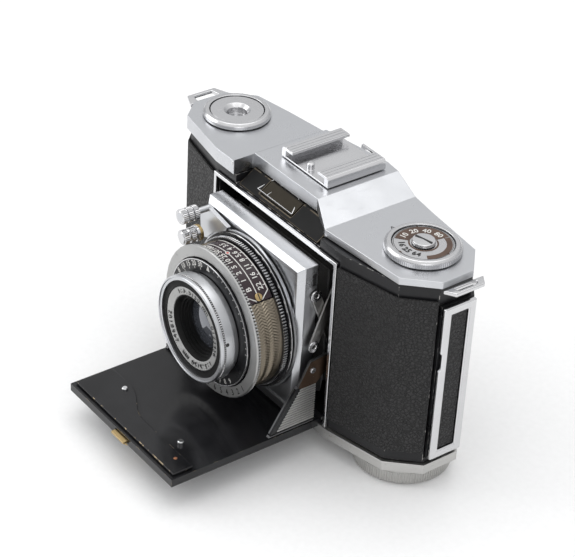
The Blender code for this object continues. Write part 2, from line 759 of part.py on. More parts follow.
def make_back_door():
    hinge = (BACK_HINGE_X, BACK_HINGE_Y, 0)
    start = BACK_HINGE_X + 1.0
    door = back_skin(
        "back_door", BLACK_ENAMEL, -BACK_WALL, 0.0, BACK_LOW, BACK_HIGH, start, RIGHT_END + 9, hinge
    )
    cut(
        door,
        box((LEFT_END - 9, -20, BACK_LOW - 5), (RIGHT_END - 9, RAIL_Y + GAP, BACK_HIGH + 5)),
        box((0, -20, BACK_LOW - 5), (RIGHT_END + 9, BACK_END_FRONT_Y, BACK_HIGH + 5)),
    )
    join(door, rod(BACK_KNUCKLE, BACK_LOW, BACK_HIGH, hinge))
    cut(door, rod(HINGE_PIN + GAP, BACK_LOW - 5, BACK_HIGH + 5, hinge))
    new_object("back_hinge_pin", rod(HINGE_PIN, BACK_LOW, BACK_HIGH, hinge, steps=12), STEEL)

    leather = back_skin(
        "back_leather",
        BLACK_LEATHER,
        GAP,
        GAP + LEATHER_THICKNESS,
        BACK_LOW + 3,
        BACK_HIGH - 3,
        BACK_HINGE_X + 4.5,
        RIGHT_END - 9.3,
        hinge,
    )
    cut(leather, box((LEFT_END - 9, -20, 0), (RIGHT_END + 9, RAIL_Y, BODY_TOP)))

    face = RIGHT_END + GAP
    frame = new_object(
        "end_frame",
        box((face, BACK_END_FRONT_Y, BACK_LOW + 0.2), (face + END_FRAME_DEPTH, END_FRAME_BACK_Y, BACK_HIGH)),
        CHROME,
        pivot=hinge,
    )
    bar = END_FRAME_BAR
    window = ((BACK_END_FRONT_Y + bar, BACK_LOW + 0.2 + bar), (END_FRAME_BACK_Y - bar, BACK_HIGH - bar))
    cut(frame, box((face - 5, *window[0]), (face + 9, *window[1])))
    notch_z = GATE_Z + 8.0
    cut(
        frame,
        prism(
            [
                (BACK_END_FRONT_Y - 1, notch_z - 3.4),
                (BACK_END_FRONT_Y + 0.7, notch_z - 2.6),
                (BACK_END_FRONT_Y + 0.7, notch_z + 2.6),
                (BACK_END_FRONT_Y - 1, notch_z + 3.4),
            ],
            face - 5,
            face + 9,
            "X",
        ),
    )
    bevel(frame, 0.35)
    new_object(
        "end_leather",
        box(
            (face, window[0][0] + GAP, window[0][1] + GAP),
            (face + 0.7, window[1][0] - GAP, window[1][1] - GAP),
        ),
        BLACK_LEATHER,
        pivot=hinge,
    )


def make_pressure_plate():
    hinge = (BACK_HINGE_X, BACK_HINGE_Y, 0)
    half = GATE_WIDTH / 2 + 4.5
    tall = GATE_HEIGHT / 2 + 4.0
    front = RAIL_Y + 0.6
    back = front + 0.8
    new_object(
        "pressure_plate",
        box((-half, front, GATE_Z - tall), (half, back, GATE_Z + tall)),
        BLACK_ENAMEL,
        pivot=hinge,
    )
    reach = 16.0
    door_y = BODY_DEPTH - 3.1 - BACK_WALL - GAP
    bow = [(-reach, back + GAP), (-reach + 4, back + GAP), (0, door_y - 0.4), (reach - 4, back + GAP)]
    bow += [(reach, back + GAP), (reach, back + GAP + 0.4), (reach - 4, back + GAP + 0.4), (0, door_y)]
    bow += [(-reach + 4, back + GAP + 0.4), (-reach, back + GAP + 0.4)]
    new_object("pressure_spring", prism(bow, GATE_Z - 3, GATE_Z + 3), STEEL, pivot=hinge)


# ---------------------------------------------------------------- door


def make_door():
    hinge = (0.0, DOOR_HINGE_Y, DOOR_HINGE_Z)
    rear = FRONT_FACE_Y - 0.65
    outline = [(DOOR_FRONT_Y, DOOR_LOW), (rear, DOOR_LOW), (rear, DOOR_HINGE_Z - DOOR_KNUCKLE)]
    last = math.pi - math.asin((DOOR_HIGH - DOOR_HINGE_Z) / DOOR_KNUCKLE)
    for i in range(11):
        angle = -math.pi / 2 + (last + math.pi / 2) * i / 10
        height = DOOR_HINGE_Z + DOOR_KNUCKLE * math.sin(angle)
        outline.append((DOOR_HINGE_Y + DOOR_KNUCKLE * math.cos(angle), height))
    outline.append((DOOR_FRONT_Y, DOOR_HIGH))
    door = new_object("door_plate", prism(outline, -DOOR_HALF, DOOR_HALF, "X"), BLACK_ENAMEL, pivot=hinge)
    cut(
        door,
        rod(DOOR_PIN + GAP, -DOOR_HALF - 5, DOOR_HALF + 5, hinge, "X", steps=12),
        box((LATCH_X - 3.6, DOOR_FRONT_Y - 5, 3.7), (LATCH_X + 3.6, DOOR_FRONT_Y + 5.0, 5.1)),
        box((LATCH_X - 1.3, DOOR_FRONT_Y + 1.6, 2.0), (LATCH_X + 1.3, DOOR_FRONT_Y + 5.0, 4.2)),
    )
    pin = rod(DOOR_PIN, -DOOR_HALF, DOOR_HALF, hinge, "X", steps=12)
    new_object("door_hinge_pin", pin, STEEL)

    plate_low = DOOR_HIGH + GAP
    left_rear = DOOR_FRONT_Y + 14.1
    right_rear = DOOR_FRONT_Y + 8.1
    sweep = [i / 8 for i in range(9)]
    curve = [(-15.4 * (1 - t), left_rear + (right_rear - left_rear) * (3 * t * t - 2 * t**3)) for t in sweep]
    half = DOOR_HALF - 1.1
    raised = [(half, DOOR_FRONT_Y + 1.2), (half, right_rear)] + curve[::-1] + [(-half, left_rear)]
    raised.append((-half, DOOR_FRONT_Y + 1.2))
    new_object("door_raised_plate", prism(raised, plate_low, plate_low + 0.7), BLACK_ENAMEL, pivot=hinge)
    tongue = new_object(
        "latch_tongue",
        box((LATCH_X - 3.3, DOOR_FRONT_Y - 1.6, 4.0), (LATCH_X + 3.3, DOOR_FRONT_Y + 3.7, 4.8)),
        BRASS,
    )
    button = [(0, 0.9), (1.8, 0.9), (2.3, 1.3), (2.3, 1.9), (0.9, 1.9), (0.9, 4.3), (0, 4.3)]
    join(tongue, turned(button, (LATCH_X, DOOR_FRONT_Y + 2.8, 0), steps=16))


def make_gusset(side, word):
    hinge = (0.0, DOOR_HINGE_Y, DOOR_HINGE_Z)
    outer = DOOR_HALF - 0.2
    low = DOOR_HIGH + GAP
    triangle = [(-2.2, 20.0), (-9.5, 20.3), (-18.6, low), (-2.2, low)]
    near, far = sorted((side * (outer - GUSSET_THICKNESS), side * outer))
    gusset = new_object(f"gusset_{word}", prism(triangle, near, far, "X"), ALUMINIUM, pivot=hinge)
    stay = [(-8.8, 19.6), (-2.4, 19.4), (2.2, 24.0), (2.2, 29.0), (-4.4, 28.2)]
    stay_near, stay_far = sorted((side * (outer - 0.9), side * (outer - 0.1)))
    rivet_near, rivet_far = sorted((side * (outer - 0.5), side * (outer + 0.4)))
    join(
        gusset,
        prism(stay, stay_near, stay_far, "X"),
        rod(1.0, rivet_near, rivet_far, (0, -3.6, 25.0), "X", steps=12),
    )


def make_strut(side, word):
    """Two crossing arms; their rear ends are free, where the real ones run in slots of the body."""
    for level, pivot, tip, inner in (
        ("upper", (-2.0, 49.3), (6.6, 27.0), STANDARD_HALF + GAP),
        ("lower", (-2.6, 32.2), (5.0, 51.8), STANDARD_HALF + 2 * GAP + ARM_THICKNESS),
    ):
        start = Vector(pivot)
        end = Vector(tip)
        along = (end - start).normalized()
        lead = math.atan2(along.y, along.x)
        outline = []
        for centre, turn in ((end, lead - math.pi / 2), (start, lead + math.pi / 2)):
            for i in range(7):
                angle = turn + math.pi * i / 6
                outline.append(tuple(centre + ARM_HALF_WIDTH * Vector((math.cos(angle), math.sin(angle)))))
        near, far = sorted((side * inner, side * (inner + ARM_THICKNESS)))
        new_object(
            f"{level}_arm_{word}", prism(outline, near, far, "X"), STEEL, pivot=(side * inner, *pivot)
        )


# ---------------------------------------------------------------- lens unit


def make_standard():
    half = STANDARD_HALF
    frame = new_object(
        "standard_frame",
        box((-half, STANDARD_FRONT_Y, STANDARD_LOW), (half, STANDARD_BACK_Y, STANDARD_HIGH)),
        CHROME,
    )
    for x_low, x_high, way in ((half - STANDARD_BEVEL, half, 1), (-half, -half + STANDARD_BEVEL, -1)):
        edge = x_high if way > 0 else x_low
        corner = [
            (edge + way, STANDARD_FRONT_Y - 1),
            (edge + way, STANDARD_FRONT_Y + STANDARD_BEVEL + 1),
            (edge - way * (STANDARD_BEVEL + 1), STANDARD_FRONT_Y - 1),
        ]
        cut(frame, prism(corner, STANDARD_LOW - 5, STANDARD_HIGH + 5))
    top = [
        (STANDARD_FRONT_Y - 1, STANDARD_HIGH + 1),
        (STANDARD_FRONT_Y + STANDARD_BEVEL + 1, STANDARD_HIGH + 1),
        (STANDARD_FRONT_Y - 1, STANDARD_HIGH - STANDARD_BEVEL - 1),
    ]
    inner = half - STANDARD_BAR
    bar = STANDARD_BAR
    inner_top = STANDARD_HIGH - bar
    cut(
        frame,
        prism(top, -half - 5, half + 5, "X"),
        box((-inner, STANDARD_FRONT_Y - 5, STANDARD_LOW + bar), (inner, STANDARD_BACK_Y + 5, inner_top)),
    )
    panel_front = STANDARD_FRONT_Y + 0.5
    panel_low = STANDARD_LOW + bar - 0.2
    panel_corner = (inner + 0.2, panel_front + 1.2, inner_top + 0.2)
    join(frame, box((-inner - 0.2, panel_front, panel_low), panel_corner))
    cut(frame, lens_rod(LENS_TUBE + GAP, STANDARD_FRONT_Y - 5, STANDARD_FRONT_Y + 9))


def make_shutter():
    """The case with its flange, and the ring that carries the scales, teeth and grip round it."""
    centre = (0.0, 0.0, LENS_Z)
    rear_bore = 11.0
    new_object(
        "shutter_flange",
        turned(
            [
                (rear_bore, -9.5),
                (FLANGE_RADIUS, -9.5),
                (FLANGE_RADIUS, -8.9),
                (FLANGE_RADIUS - 3.4, -8.9),
                (FLANGE_RADIUS - 3.4, STANDARD_FRONT_Y - GAP),
                (LENS_TUBE, STANDARD_FRONT_Y - GAP),
                (LENS_TUBE, STANDARD_FRONT_Y + 3.4),
                (rear_bore, STANDARD_FRONT_Y + 3.4),
            ],
            centre,
            "Y",
        ),
        POLISHED,
    )
    new_object("shutter_case", lens_ring(LENS_TUBE, CASE_RADIUS, -20.4, -9.8), BLACK_ENAMEL)
    sleeve_in = CASE_RADIUS + GAP
    sleeve_out = sleeve_in + SLEEVE_WALL
    toothed = new_object(
        "aperture_ring", lens_ring(sleeve_in, TOOTHED_RADIUS, -11.3, -9.8), BLACK_ENAMEL, pivot=centre
    )
    window_first = 42.0
    window_last = 118.0
    gap_angle = math.degrees(GAP / sleeve_out)
    new_object(
        "scale_window",
        arc_plate(sleeve_in, sleeve_out, window_first, window_last, -20.5, -11.6),
        SCALE_PURPLE,
        pivot=centre,
    )
    grip_last = window_first + 360 - gap_angle
    grip_first = window_last + gap_angle
    join(toothed, arc_plate(sleeve_in, sleeve_out, grip_first, grip_last, -20.5, -11.0, pieces=36))
    new_object(
        "speed_ring",
        turned(
            [
                (20.3, -21.4),
                (SPEED_RING_RADIUS - 0.3, -21.4),
                (SPEED_RING_RADIUS, -21.1),
                (SPEED_RING_RADIUS, -20.8),
                (20.3, -20.8),
            ],
            centre,
            "Y",
        ),
        CHROME,
        pivot=centre,
    )
    new_object("shutter_blades", lens_rod(LENS_TUBE - GAP, -14.4, -14.0, steps=24), STEEL)
    new_object("iris_blades", lens_ring(6.0, LENS_TUBE - GAP, -16.4, -16.0, steps=24), BLACK_ENAMEL)


def make_front_cell():
    """The focusing cell: scale face, milled ring, name ring and front lens turn together."""
    centre = (0.0, 0.0, LENS_Z)
    new_object("distance_face", lens_ring(11.5, 20.0, -22.1, -20.9), BLACK_ENAMEL, pivot=centre)
    inner = NAME_RING_RADIUS + GAP
    new_object(
        "focus_ring",
        turned(
            [
                (inner, -28.9),
                (FOCUS_RADIUS - 0.4, -28.9),
                (FOCUS_RADIUS, -28.5),
                (FOCUS_RADIUS, -24.2),
                (FOCUS_RADIUS - 0.9, -24.2),
                (FOCUS_RADIUS - 0.9, -22.4),
                (inner, -22.4),
            ],
            centre,
            "Y",
        ),
        CHROME,
        pivot=centre,
    )
    new_object(
        "name_ring",
        turned(
            [
                (GLASS_RADIUS + GAP, -27.6),
                (NAME_RING_RADIUS, -28.5),
                (NAME_RING_RADIUS, -22.4),
                (GLASS_RADIUS + GAP, -22.4),
            ],
            centre,
            "Y",
        ),
        BLACK_ENAMEL,
        pivot=centre,
    )
    glass = [(0, -28.3)]
    for i in range(1, 7):
        radius = GLASS_RADIUS * i / 6
        glass.append((radius, -28.3 + 1.4 * (i / 6) ** 2))
    glass += [(GLASS_RADIUS, -24.5), (0, -24.5)]
    new_object("front_lens", turned(glass, centre, "Y"), GLASS, pivot=centre)


def make_rear_cell():
    new_object("rear_lens_cell", lens_ring(8.3, 10.7, STANDARD_FRONT_Y + 0.4, 2.6, steps=24), BLACK_ENAMEL)
    new_object("rear_lens", lens_rod(8.0, 0.4, 2.0, steps=24), GLASS)


def make_cocking_lever():
    """A flat ring behind the flange with a corner plate outside it and a beaded finger post."""
    centre = (0.0, 0.0, LENS_Z)
    back = STANDARD_FRONT_Y - GAP - 0.3
    band = lens_ring(FLANGE_RADIUS - 3.1, FLANGE_RADIUS + 0.7, back - 0.6, back)
    lever = new_object("cocking_lever", band, CHROME, pivot=centre)
    corner = [(-23.7, 54.0), (-19.3, 58.1), (-9.8, 56.4), (-10.4, 54.9), (-13.4, 53.5), (-17.0, 50.9)]
    corner += [(-20.2, 47.4), (-23.0, 46.7)]
    join(lever, prism(corner, back - 1.4, back, "Y"))
    bead = []
    for i in range(3):
        front = -13.0 - 2.1 * i
        bead += [(1.5, front), (2.1, front - 0.6), (2.1, front - 1.3), (1.5, front - 1.9)]
    profile = [(0, back - 0.7), (1.0, back - 0.7), (1.0, -12.7)] + bead + [(0, -13.0 - 2.1 * 2 - 1.9)]
    join(lever, turned(profile, (-20.4, 0, 57.6), "Y", steps=16))


def make_sync_terminal():
    profile = [(0, -12.2), (2.5, -12.2), (2.5, -14.0), (1.5, -14.0)]
    for i in range(2):
        front = -14.2 - 2.4 * i
        profile += [(1.6, front), (2.2, front - 0.6), (2.2, front - 1.6), (1.6, front - 2.2)]
    profile.append((0, -18.8))
    new_object("sync_terminal", turned(profile, (-19.9, 0, 50.5), "Y", steps=16), BRASS)


def make_bellows():
    """A folded light-tight tube from the standard back to the film gate."""
    front = (STANDARD_BACK_Y + GAP, STANDARD_HALF - 2.5, 22.4, LENS_Z + 0.2)
    back = (GATE_FRONT_Y - GAP, 20.6, 15.8, GATE_Z)
    folds = 12
    wall = 0.6
    mesh = bmesh.new()

    def loop(i, inwards):
        share = i / folds
        y, half_x, half_z, middle = (a + (b - a) * share for a, b in zip(front, back))
        swell = (-0.9 if i % 2 else 0.9) - inwards
        across = half_x + swell
        tall = half_z + swell
        corners = [(-across, -tall), (across, -tall), (across, tall), (-across, tall)]
        return [mesh.verts.new((x, y, middle + z)) for x, z in corners]

    outside = [loop(i, 0.0) for i in range(folds + 1)]
    inside = [loop(i, wall) for i in range(folds + 1)]
    rows = outside + inside[::-1]
    for a, b in zip(rows, rows[1:] + rows[:1]):
        for i in range(4):
            j = (i + 1) % 4
            mesh.faces.new((a[i], a[j], b[j], b[i]))
    bmesh.ops.recalc_face_normals(mesh, faces=mesh.faces)
    new_object("bellows", mesh, BLACK_CLOTH)


clear_scene()
CAMERA = bpy.data.objects.new("camera", None)
bpy.context.scene.collection.objects.link(CAMERA)
CAMERA.location = (0.0, -ORIGIN_DEPTH * MM, 0.0)

make_body_casting()
make_base_plate()
make_tripod_bush()
make_top_cover()
make_door_trim()
make_front_leathers()
make_strap_lugs()
make_finder()
make_accessory_shoe()
make_reminder_dial()
make_release()
make_release_spring()
make_winding()
make_rewind()
make_back_door()
make_pressure_plate()
make_door()
pair(make_gusset)
pair(make_strut)
make_standard()
make_shutter()
make_front_cell()
make_rear_cell()
make_cocking_lever()
make_sync_terminal()
make_bellows()
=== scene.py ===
"""The finishes and fine detail of a folding 35 mm viewfinder camera, laid over its fixed frame.

Each piece is drawn over a node of the frame, and where it can it takes its place from that node's
box. The rest are named sizes in millimetres, in the frame's own axes, and MM turns them into metres.
The camera faces -Y, +X is its winding end and +Z is up.
"""

import json
import math

import bmesh
import bpy
from mathutils import Matrix, Vector

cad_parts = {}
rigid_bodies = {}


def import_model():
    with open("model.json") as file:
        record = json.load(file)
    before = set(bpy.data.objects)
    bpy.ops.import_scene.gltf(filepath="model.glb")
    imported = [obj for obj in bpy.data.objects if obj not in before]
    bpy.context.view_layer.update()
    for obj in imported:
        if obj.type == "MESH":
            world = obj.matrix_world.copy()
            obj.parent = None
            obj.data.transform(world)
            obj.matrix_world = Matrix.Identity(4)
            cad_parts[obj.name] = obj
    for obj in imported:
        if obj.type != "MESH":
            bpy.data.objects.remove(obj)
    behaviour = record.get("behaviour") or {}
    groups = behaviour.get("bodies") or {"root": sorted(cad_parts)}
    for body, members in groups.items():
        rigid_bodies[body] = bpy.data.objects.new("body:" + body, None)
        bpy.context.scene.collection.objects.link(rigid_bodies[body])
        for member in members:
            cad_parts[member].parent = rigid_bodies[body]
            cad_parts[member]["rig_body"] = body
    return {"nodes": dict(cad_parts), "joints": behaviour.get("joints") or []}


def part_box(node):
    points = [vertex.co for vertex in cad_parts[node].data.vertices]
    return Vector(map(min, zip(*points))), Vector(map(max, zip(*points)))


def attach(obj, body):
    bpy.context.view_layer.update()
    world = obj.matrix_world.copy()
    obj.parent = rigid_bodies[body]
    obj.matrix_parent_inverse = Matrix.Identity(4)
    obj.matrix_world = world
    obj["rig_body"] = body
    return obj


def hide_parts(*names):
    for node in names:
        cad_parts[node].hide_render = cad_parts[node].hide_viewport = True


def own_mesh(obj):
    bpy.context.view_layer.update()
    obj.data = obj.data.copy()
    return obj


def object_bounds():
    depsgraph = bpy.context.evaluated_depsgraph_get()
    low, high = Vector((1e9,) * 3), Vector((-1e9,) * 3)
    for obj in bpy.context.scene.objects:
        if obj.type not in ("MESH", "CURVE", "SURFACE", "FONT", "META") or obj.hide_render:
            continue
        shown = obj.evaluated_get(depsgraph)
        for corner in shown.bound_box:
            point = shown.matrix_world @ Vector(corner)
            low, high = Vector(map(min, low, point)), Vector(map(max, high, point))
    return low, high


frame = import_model()
FRAME_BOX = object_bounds()

MM = 0.001
RIM = "rim"  # corner attribute: 1 on the rounded edges, where a finish wears first
PAINT = 0.05  # thickness of filled numbers and lines


def low(node):
    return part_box(node)[0] / MM


def high(node):
    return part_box(node)[1] / MM


def middle(node):
    return (low(node) + high(node)) / 2


def travel(joint):
    """How far a sliding joint goes."""
    return next(each["range_m"][1] for each in frame["joints"] if each["name"] == joint) / MM


AXIS_Z = middle("shutter_flange").z
LENS_AXIS = Matrix.Translation((0.0, 0.0, AXIS_Z)) @ Matrix.Rotation(math.pi / 2, 4, "X")


# ---------------------------------------------------------------- finishes


def add(tree, kind, inputs=None, **settings):
    """A node with its settings, and its inputs set or linked."""
    node = tree.nodes.new(kind)
    for key, value in settings.items():
        setattr(node, key, value)
    for key, value in (inputs or {}).items():
        if isinstance(value, bpy.types.NodeSocket):
            tree.links.new(value, node.inputs[key])
        else:
            node.inputs[key].default_value = value
    return node


def surface(name, colour, metallic, roughness, **inputs):
    """A new material: its tree, its shader and the socket of the coordinates that its patterns read."""
    material = bpy.data.materials.new(name)
    material.use_nodes = True
    tree = material.node_tree
    shader = tree.nodes["Principled BSDF"]
    shader.inputs["Base Color"].default_value = (*colour, 1.0)
    shader.inputs["Metallic"].default_value = metallic
    shader.inputs["Roughness"].default_value = roughness
    for key, value in inputs.items():
        shader.inputs[key.replace("_", " ")].default_value = value
    place = add(tree, "ShaderNodeTexCoord").outputs["Object"]
    return material, tree, shader, place


def noise(tree, place, size, detail=3.0, stretch=(1.0, 1.0, 1.0)):
    """Noise whose features are about size millimetres across, drawn out along an axis by stretch."""
    scaled = add(
        tree,
        "ShaderNodeMapping",
        {"Vector": place, "Scale": [1.0 / (size * MM * share) for share in stretch]},
    )
    made = add(
        tree,
        "ShaderNodeTexNoise",
        {"Vector": scaled.outputs["Vector"], "Scale": 1.0, "Detail": detail, "Roughness": 0.55},
    )
    return made.outputs["Fac"]


def ranged(tree, value, start, end, to_start=0.0, to_end=1.0):
    """A value carried from one range to another, held at both ends."""
    made = add(
        tree,
        "ShaderNodeMapRange",
        {"Value": value, "From Min": start, "From Max": end, "To Min": to_start, "To Max": to_end},
    )
    return made.outputs["Result"]


def sum_of(tree, first, second, operation="ADD"):
    made = add(tree, "ShaderNodeMath", {0: first, 1: second}, operation=operation)
    return made.outputs["Value"]


def blended(tree, factor, first, second):
    """A colour between two: each is a colour or a socket."""
    made = add(tree, "ShaderNodeMix", {"Factor": factor}, data_type="RGBA")
    for index, colour in ((6, first), (7, second)):
        if isinstance(colour, bpy.types.NodeSocket):
            tree.links.new(colour, made.inputs[index])
        else:
            made.inputs[index].default_value = (*colour, 1.0)
    return made.outputs[2]


def raise_surface(tree, shader, height, depth):
    """Raises the surface by a height of 0 to 1, which is worth depth millimetres."""
    made = add(tree, "ShaderNodeBump", {"Height": height, "Distance": depth * MM, "Strength": 1.0})
    tree.links.new(made.outputs["Normal"], shader.inputs["Normal"])


def worn_edges(tree, place, share):
    """1 where an edge has worn through: share is the part of the rounded edges that has."""
    rim = add(tree, "ShaderNodeAttribute", attribute_name=RIM).outputs["Fac"]
    broken = noise(tree, place, 2.6, 6.0)
    rubbed = ranged(tree, broken, 0.62 - 0.3 * share, 0.68 - 0.3 * share)
    return sum_of(tree, rim, rubbed, "MULTIPLY")


TARNISH = (0.3, 0.27, 0.22)


def metal(name, colour, roughness, grain=0.35, depth=0.006, stretch=(1, 1, 1), marks=0.2):
    """A worked metal: fine grain, cloudy gloss, small scuffs and a few tarnished specks."""
    material, tree, shader, place = surface(name, colour, 1.0, roughness)
    cloud = noise(tree, place, 14.0, 4.0)
    fine = noise(tree, place, grain, 2.0, stretch)
    scuffs = ranged(tree, noise(tree, place, 1.4, 8.0, (1.0, 3.0, 1.0)), 0.6, 0.72)
    specks = ranged(tree, noise(tree, place, 0.9, 5.0), 0.74 - 0.1 * marks, 0.8 - 0.1 * marks)
    shade = ranged(tree, cloud, 0.3, 0.7, 0.0, 0.5)
    body = blended(tree, shade, colour, [0.86 * part for part in colour])
    spotted = blended(tree, sum_of(tree, specks, marks, "MULTIPLY"), body, TARNISH)
    tree.links.new(spotted, shader.inputs["Base Color"])
    gloss = ranged(tree, cloud, 0.3, 0.7, roughness * 0.85, roughness * 1.2)
    dull = sum_of(tree, gloss, sum_of(tree, scuffs, 0.5 * marks, "MULTIPLY"))
    grained = sum_of(tree, dull, ranged(tree, fine, 0.2, 0.8, -0.03, 0.05))
    tree.links.new(grained, shader.inputs["Roughness"])
    raise_surface(tree, shader, sum_of(tree, fine, scuffs, "SUBTRACT"), depth)
    return material


def enamel(name, colour, roughness, bare, share=0.5, coat=0.0, texture=0.5, depth=0.004, shine=0.3):
    """A stoved enamel: faint orange-peel skin, dusty gloss, and bare metal on the worn edges."""
    material, tree, shader, place = surface(name, colour, 0.0, roughness, Coat_Weight=coat)
    shader.inputs["Coat Roughness"].default_value = 0.12
    shader.inputs["Specular IOR Level"].default_value = shine
    skin = noise(tree, place, texture, 2.0)
    dust = noise(tree, place, 9.0, 6.0)
    worn = worn_edges(tree, place, share)
    dusty = [part * 1.7 + 0.003 for part in colour]
    faded = blended(tree, ranged(tree, dust, 0.35, 0.75), colour, dusty)
    tree.links.new(blended(tree, worn, faded, bare), shader.inputs["Base Color"])
    tree.links.new(worn, shader.inputs["Metallic"])
    hazed = ranged(tree, dust, 0.3, 0.75, roughness * 0.75, roughness * 1.35)
    rubbed = ranged(tree, worn, 0.0, 1.0, 0.0, 0.12)
    tree.links.new(sum_of(tree, hazed, rubbed), shader.inputs["Roughness"])
    raise_surface(tree, shader, sum_of(tree, skin, worn, "SUBTRACT"), depth)
    return material


def leather(name):
    """Black grained leather cloth: small uneven pebbles with creases between, polished on top, and darker
    in the creases as painted shade.
    """
    material, tree, shader, place = surface(name, (0.012, 0.0115, 0.012), 0.0, 0.5)
    shader.inputs["Specular IOR Level"].default_value = 0.5
    wander = add(
        tree,
        "ShaderNodeTexNoise",
        {"Vector": place, "Scale": 520.0, "Detail": 3.0, "Roughness": 0.6},
    ).outputs["Color"]
    shifted = add(
        tree,
        "ShaderNodeVectorMath",
        {0: wander, 1: (0.0011, 0.0011, 0.0011)},
        operation="MULTIPLY",
    ).outputs["Vector"]
    moved = add(tree, "ShaderNodeVectorMath", {0: place, 1: shifted}, operation="ADD").outputs["Vector"]
    cells = add(
        tree,
        "ShaderNodeTexVoronoi",
        {"Vector": moved, "Scale": 950.0, "Randomness": 1.0},
        feature="DISTANCE_TO_EDGE",
    ).outputs["Distance"]
    pebble = ranged(tree, cells, 0.0, 0.22)
    wrinkle = noise(tree, place, 0.7, 5.0)
    fine = noise(tree, place, 0.18, 2.0)
    rolled = sum_of(tree, pebble, ranged(tree, wrinkle, 0.25, 0.75, 0.0, 0.9))
    height = sum_of(tree, rolled, ranged(tree, fine, 0.3, 0.7, 0.0, 0.12))
    raise_surface(tree, shader, height, 0.3)
    top = ranged(tree, rolled, 0.5, 1.7)
    # painted shade: the colour goes darker down in the creases and low places of the grain and lighter on
    # the pebble tops
    shade = blended(tree, top, (0.004, 0.004, 0.004), (0.018, 0.017, 0.018))
    tree.links.new(shade, shader.inputs["Base Color"])
    tree.links.new(ranged(tree, top, 0.0, 1.0, 0.7, 0.42), shader.inputs["Roughness"])
    return material


def cloth(name):
    """Black bellows cloth: a fine plain weave with a dusty nap."""
    material, tree, shader, place = surface(name, (0.012, 0.011, 0.011), 0.0, 0.85)
    shader.inputs["Sheen Weight"].default_value = 0.25
    shader.inputs["Sheen Roughness"].default_value = 0.4
    threads = {"Vector": place, "Scale": 900.0, "Distortion": 0.4}
    warp = add(tree, "ShaderNodeTexWave", threads, bands_direction="X")
    weft = add(tree, "ShaderNodeTexWave", threads, bands_direction="Z")
    weave = sum_of(tree, warp.outputs["Fac"], weft.outputs["Fac"], "MAXIMUM")
    nap = noise(tree, place, 1.2, 5.0)
    shade = blended(tree, nap, (0.006, 0.006, 0.006), (0.03, 0.028, 0.026))
    tree.links.new(shade, shader.inputs["Base Color"])
    raise_surface(tree, shader, sum_of(tree, weave, nap), 0.04)
    return material


def glass(name, colour, tint, coat, index, shine, roughness=0.02):
    """Coated optical glass over a dark barrel: deep, clean and faintly dusty."""
    material, tree, shader, place = surface(
        name, colour, 0.0, roughness, IOR=index, Coat_Weight=coat, Coat_IOR=index
    )
    shader.inputs["Coat Tint"].default_value = (*tint, 1.0)
    shader.inputs["Specular IOR Level"].default_value = shine
    shader.inputs["Specular Tint"].default_value = (*tint, 1.0)
    dust = noise(tree, place, 3.5, 7.0)
    hazed = ranged(tree, dust, 0.45, 0.8, roughness, roughness + 0.08)
    tree.links.new(hazed, shader.inputs["Roughness"])
    deep = blended(tree, ranged(tree, dust, 0.4, 0.8), colour, [part * 1.5 + 0.002 for part in colour])
    tree.links.new(deep, shader.inputs["Base Color"])
    return material


def paint(name, colour, roughness=0.45):
    """Filling paint in engraved figures: a little chalky and uneven."""
    material, tree, shader, place = surface(name, colour, 0.0, roughness)
    patch = noise(tree, place, 0.6, 5.0)
    tree.links.new(
        blended(tree, ranged(tree, patch, 0.3, 0.75), colour, [part * 0.72 for part in colour]),
        shader.inputs["Base Color"],
    )
    raise_surface(tree, shader, patch, 0.01)
    return material


BARE_METAL = (0.5, 0.49, 0.47)
SATIN_CHROME = metal("brushed_cover_chrome", (0.6, 0.61, 0.63), 0.3, 0.22, 0.004)
BRIGHT_CHROME = metal("bright_plated_chrome", (0.68, 0.68, 0.69), 0.17, 0.5, 0.002, marks=0.25)
TURNED_CHROME = metal("lathe_turned_chrome", (0.62, 0.62, 0.63), 0.22, 0.25, 0.004)
SCUFFED_ALUMINIUM = metal("scuffed_base_aluminium", (0.58, 0.575, 0.56), 0.36, 0.3, 0.012, marks=0.8)
KNOB_ALUMINIUM = metal("fluted_knob_aluminium", (0.52, 0.515, 0.5), 0.34, 0.3, 0.01, marks=0.7)
RING_ALUMINIUM = metal("frosted_ring_aluminium", (0.46, 0.46, 0.455), 0.42, 0.25, 0.008, marks=0.5)
PLAIN_STEEL = metal("plain_spring_steel", (0.42, 0.41, 0.4), 0.34, 0.3, 0.005, (1, 1, 6), marks=0.6)
BRASS = metal("rubbed_brass", (0.5, 0.37, 0.18), 0.3, 0.3, 0.005, marks=0.6)
COPPER = metal("bare_copper", (0.55, 0.25, 0.14), 0.32, 0.3, 0.005, marks=0.5)
BRONZE = metal("browned_bronze", (0.1, 0.065, 0.045), 0.4, 0.4, 0.008, marks=0.6)
GRIP_BRONZE = metal("grip_bronze", (0.29, 0.25, 0.195), 0.34, 0.4, 0.006, marks=0.5)
CASE_ENAMEL = enamel("case_enamel", (0.009, 0.009, 0.01), 0.34, (0.3, 0.29, 0.28), 0.25)
DOOR_ENAMEL = enamel("door_enamel", (0.007, 0.007, 0.008), 0.2, (0.3, 0.24, 0.16), 0.2, 0.08)
RING_ENAMEL = enamel("ring_enamel", (0.006, 0.006, 0.007), 0.32, BARE_METAL, 0.3)
MATT_BLACK = enamel(
    "matt_black", (0.006, 0.006, 0.006), 0.6, (0.2, 0.17, 0.13), 0.7, texture=0.3, depth=0.012, shine=0.18
)
SCALE_ENAMEL = enamel("purple_scale_enamel", (0.022, 0.013, 0.016), 0.24, BARE_METAL, 0.5)
DIAL_BROWN = enamel("dial_brown", (0.07, 0.042, 0.03), 0.35, BARE_METAL, 0.3)
GRAINED_LEATHER = leather("grained_leather")
BELLOWS_CLOTH = cloth("woven_bellows_cloth")
LENS_GLASS = glass(
    "coated_lens_glass", (0.05, 0.052, 0.056), (0.9, 0.93, 1.0), coat=1.0, index=1.7, shine=0.5
)
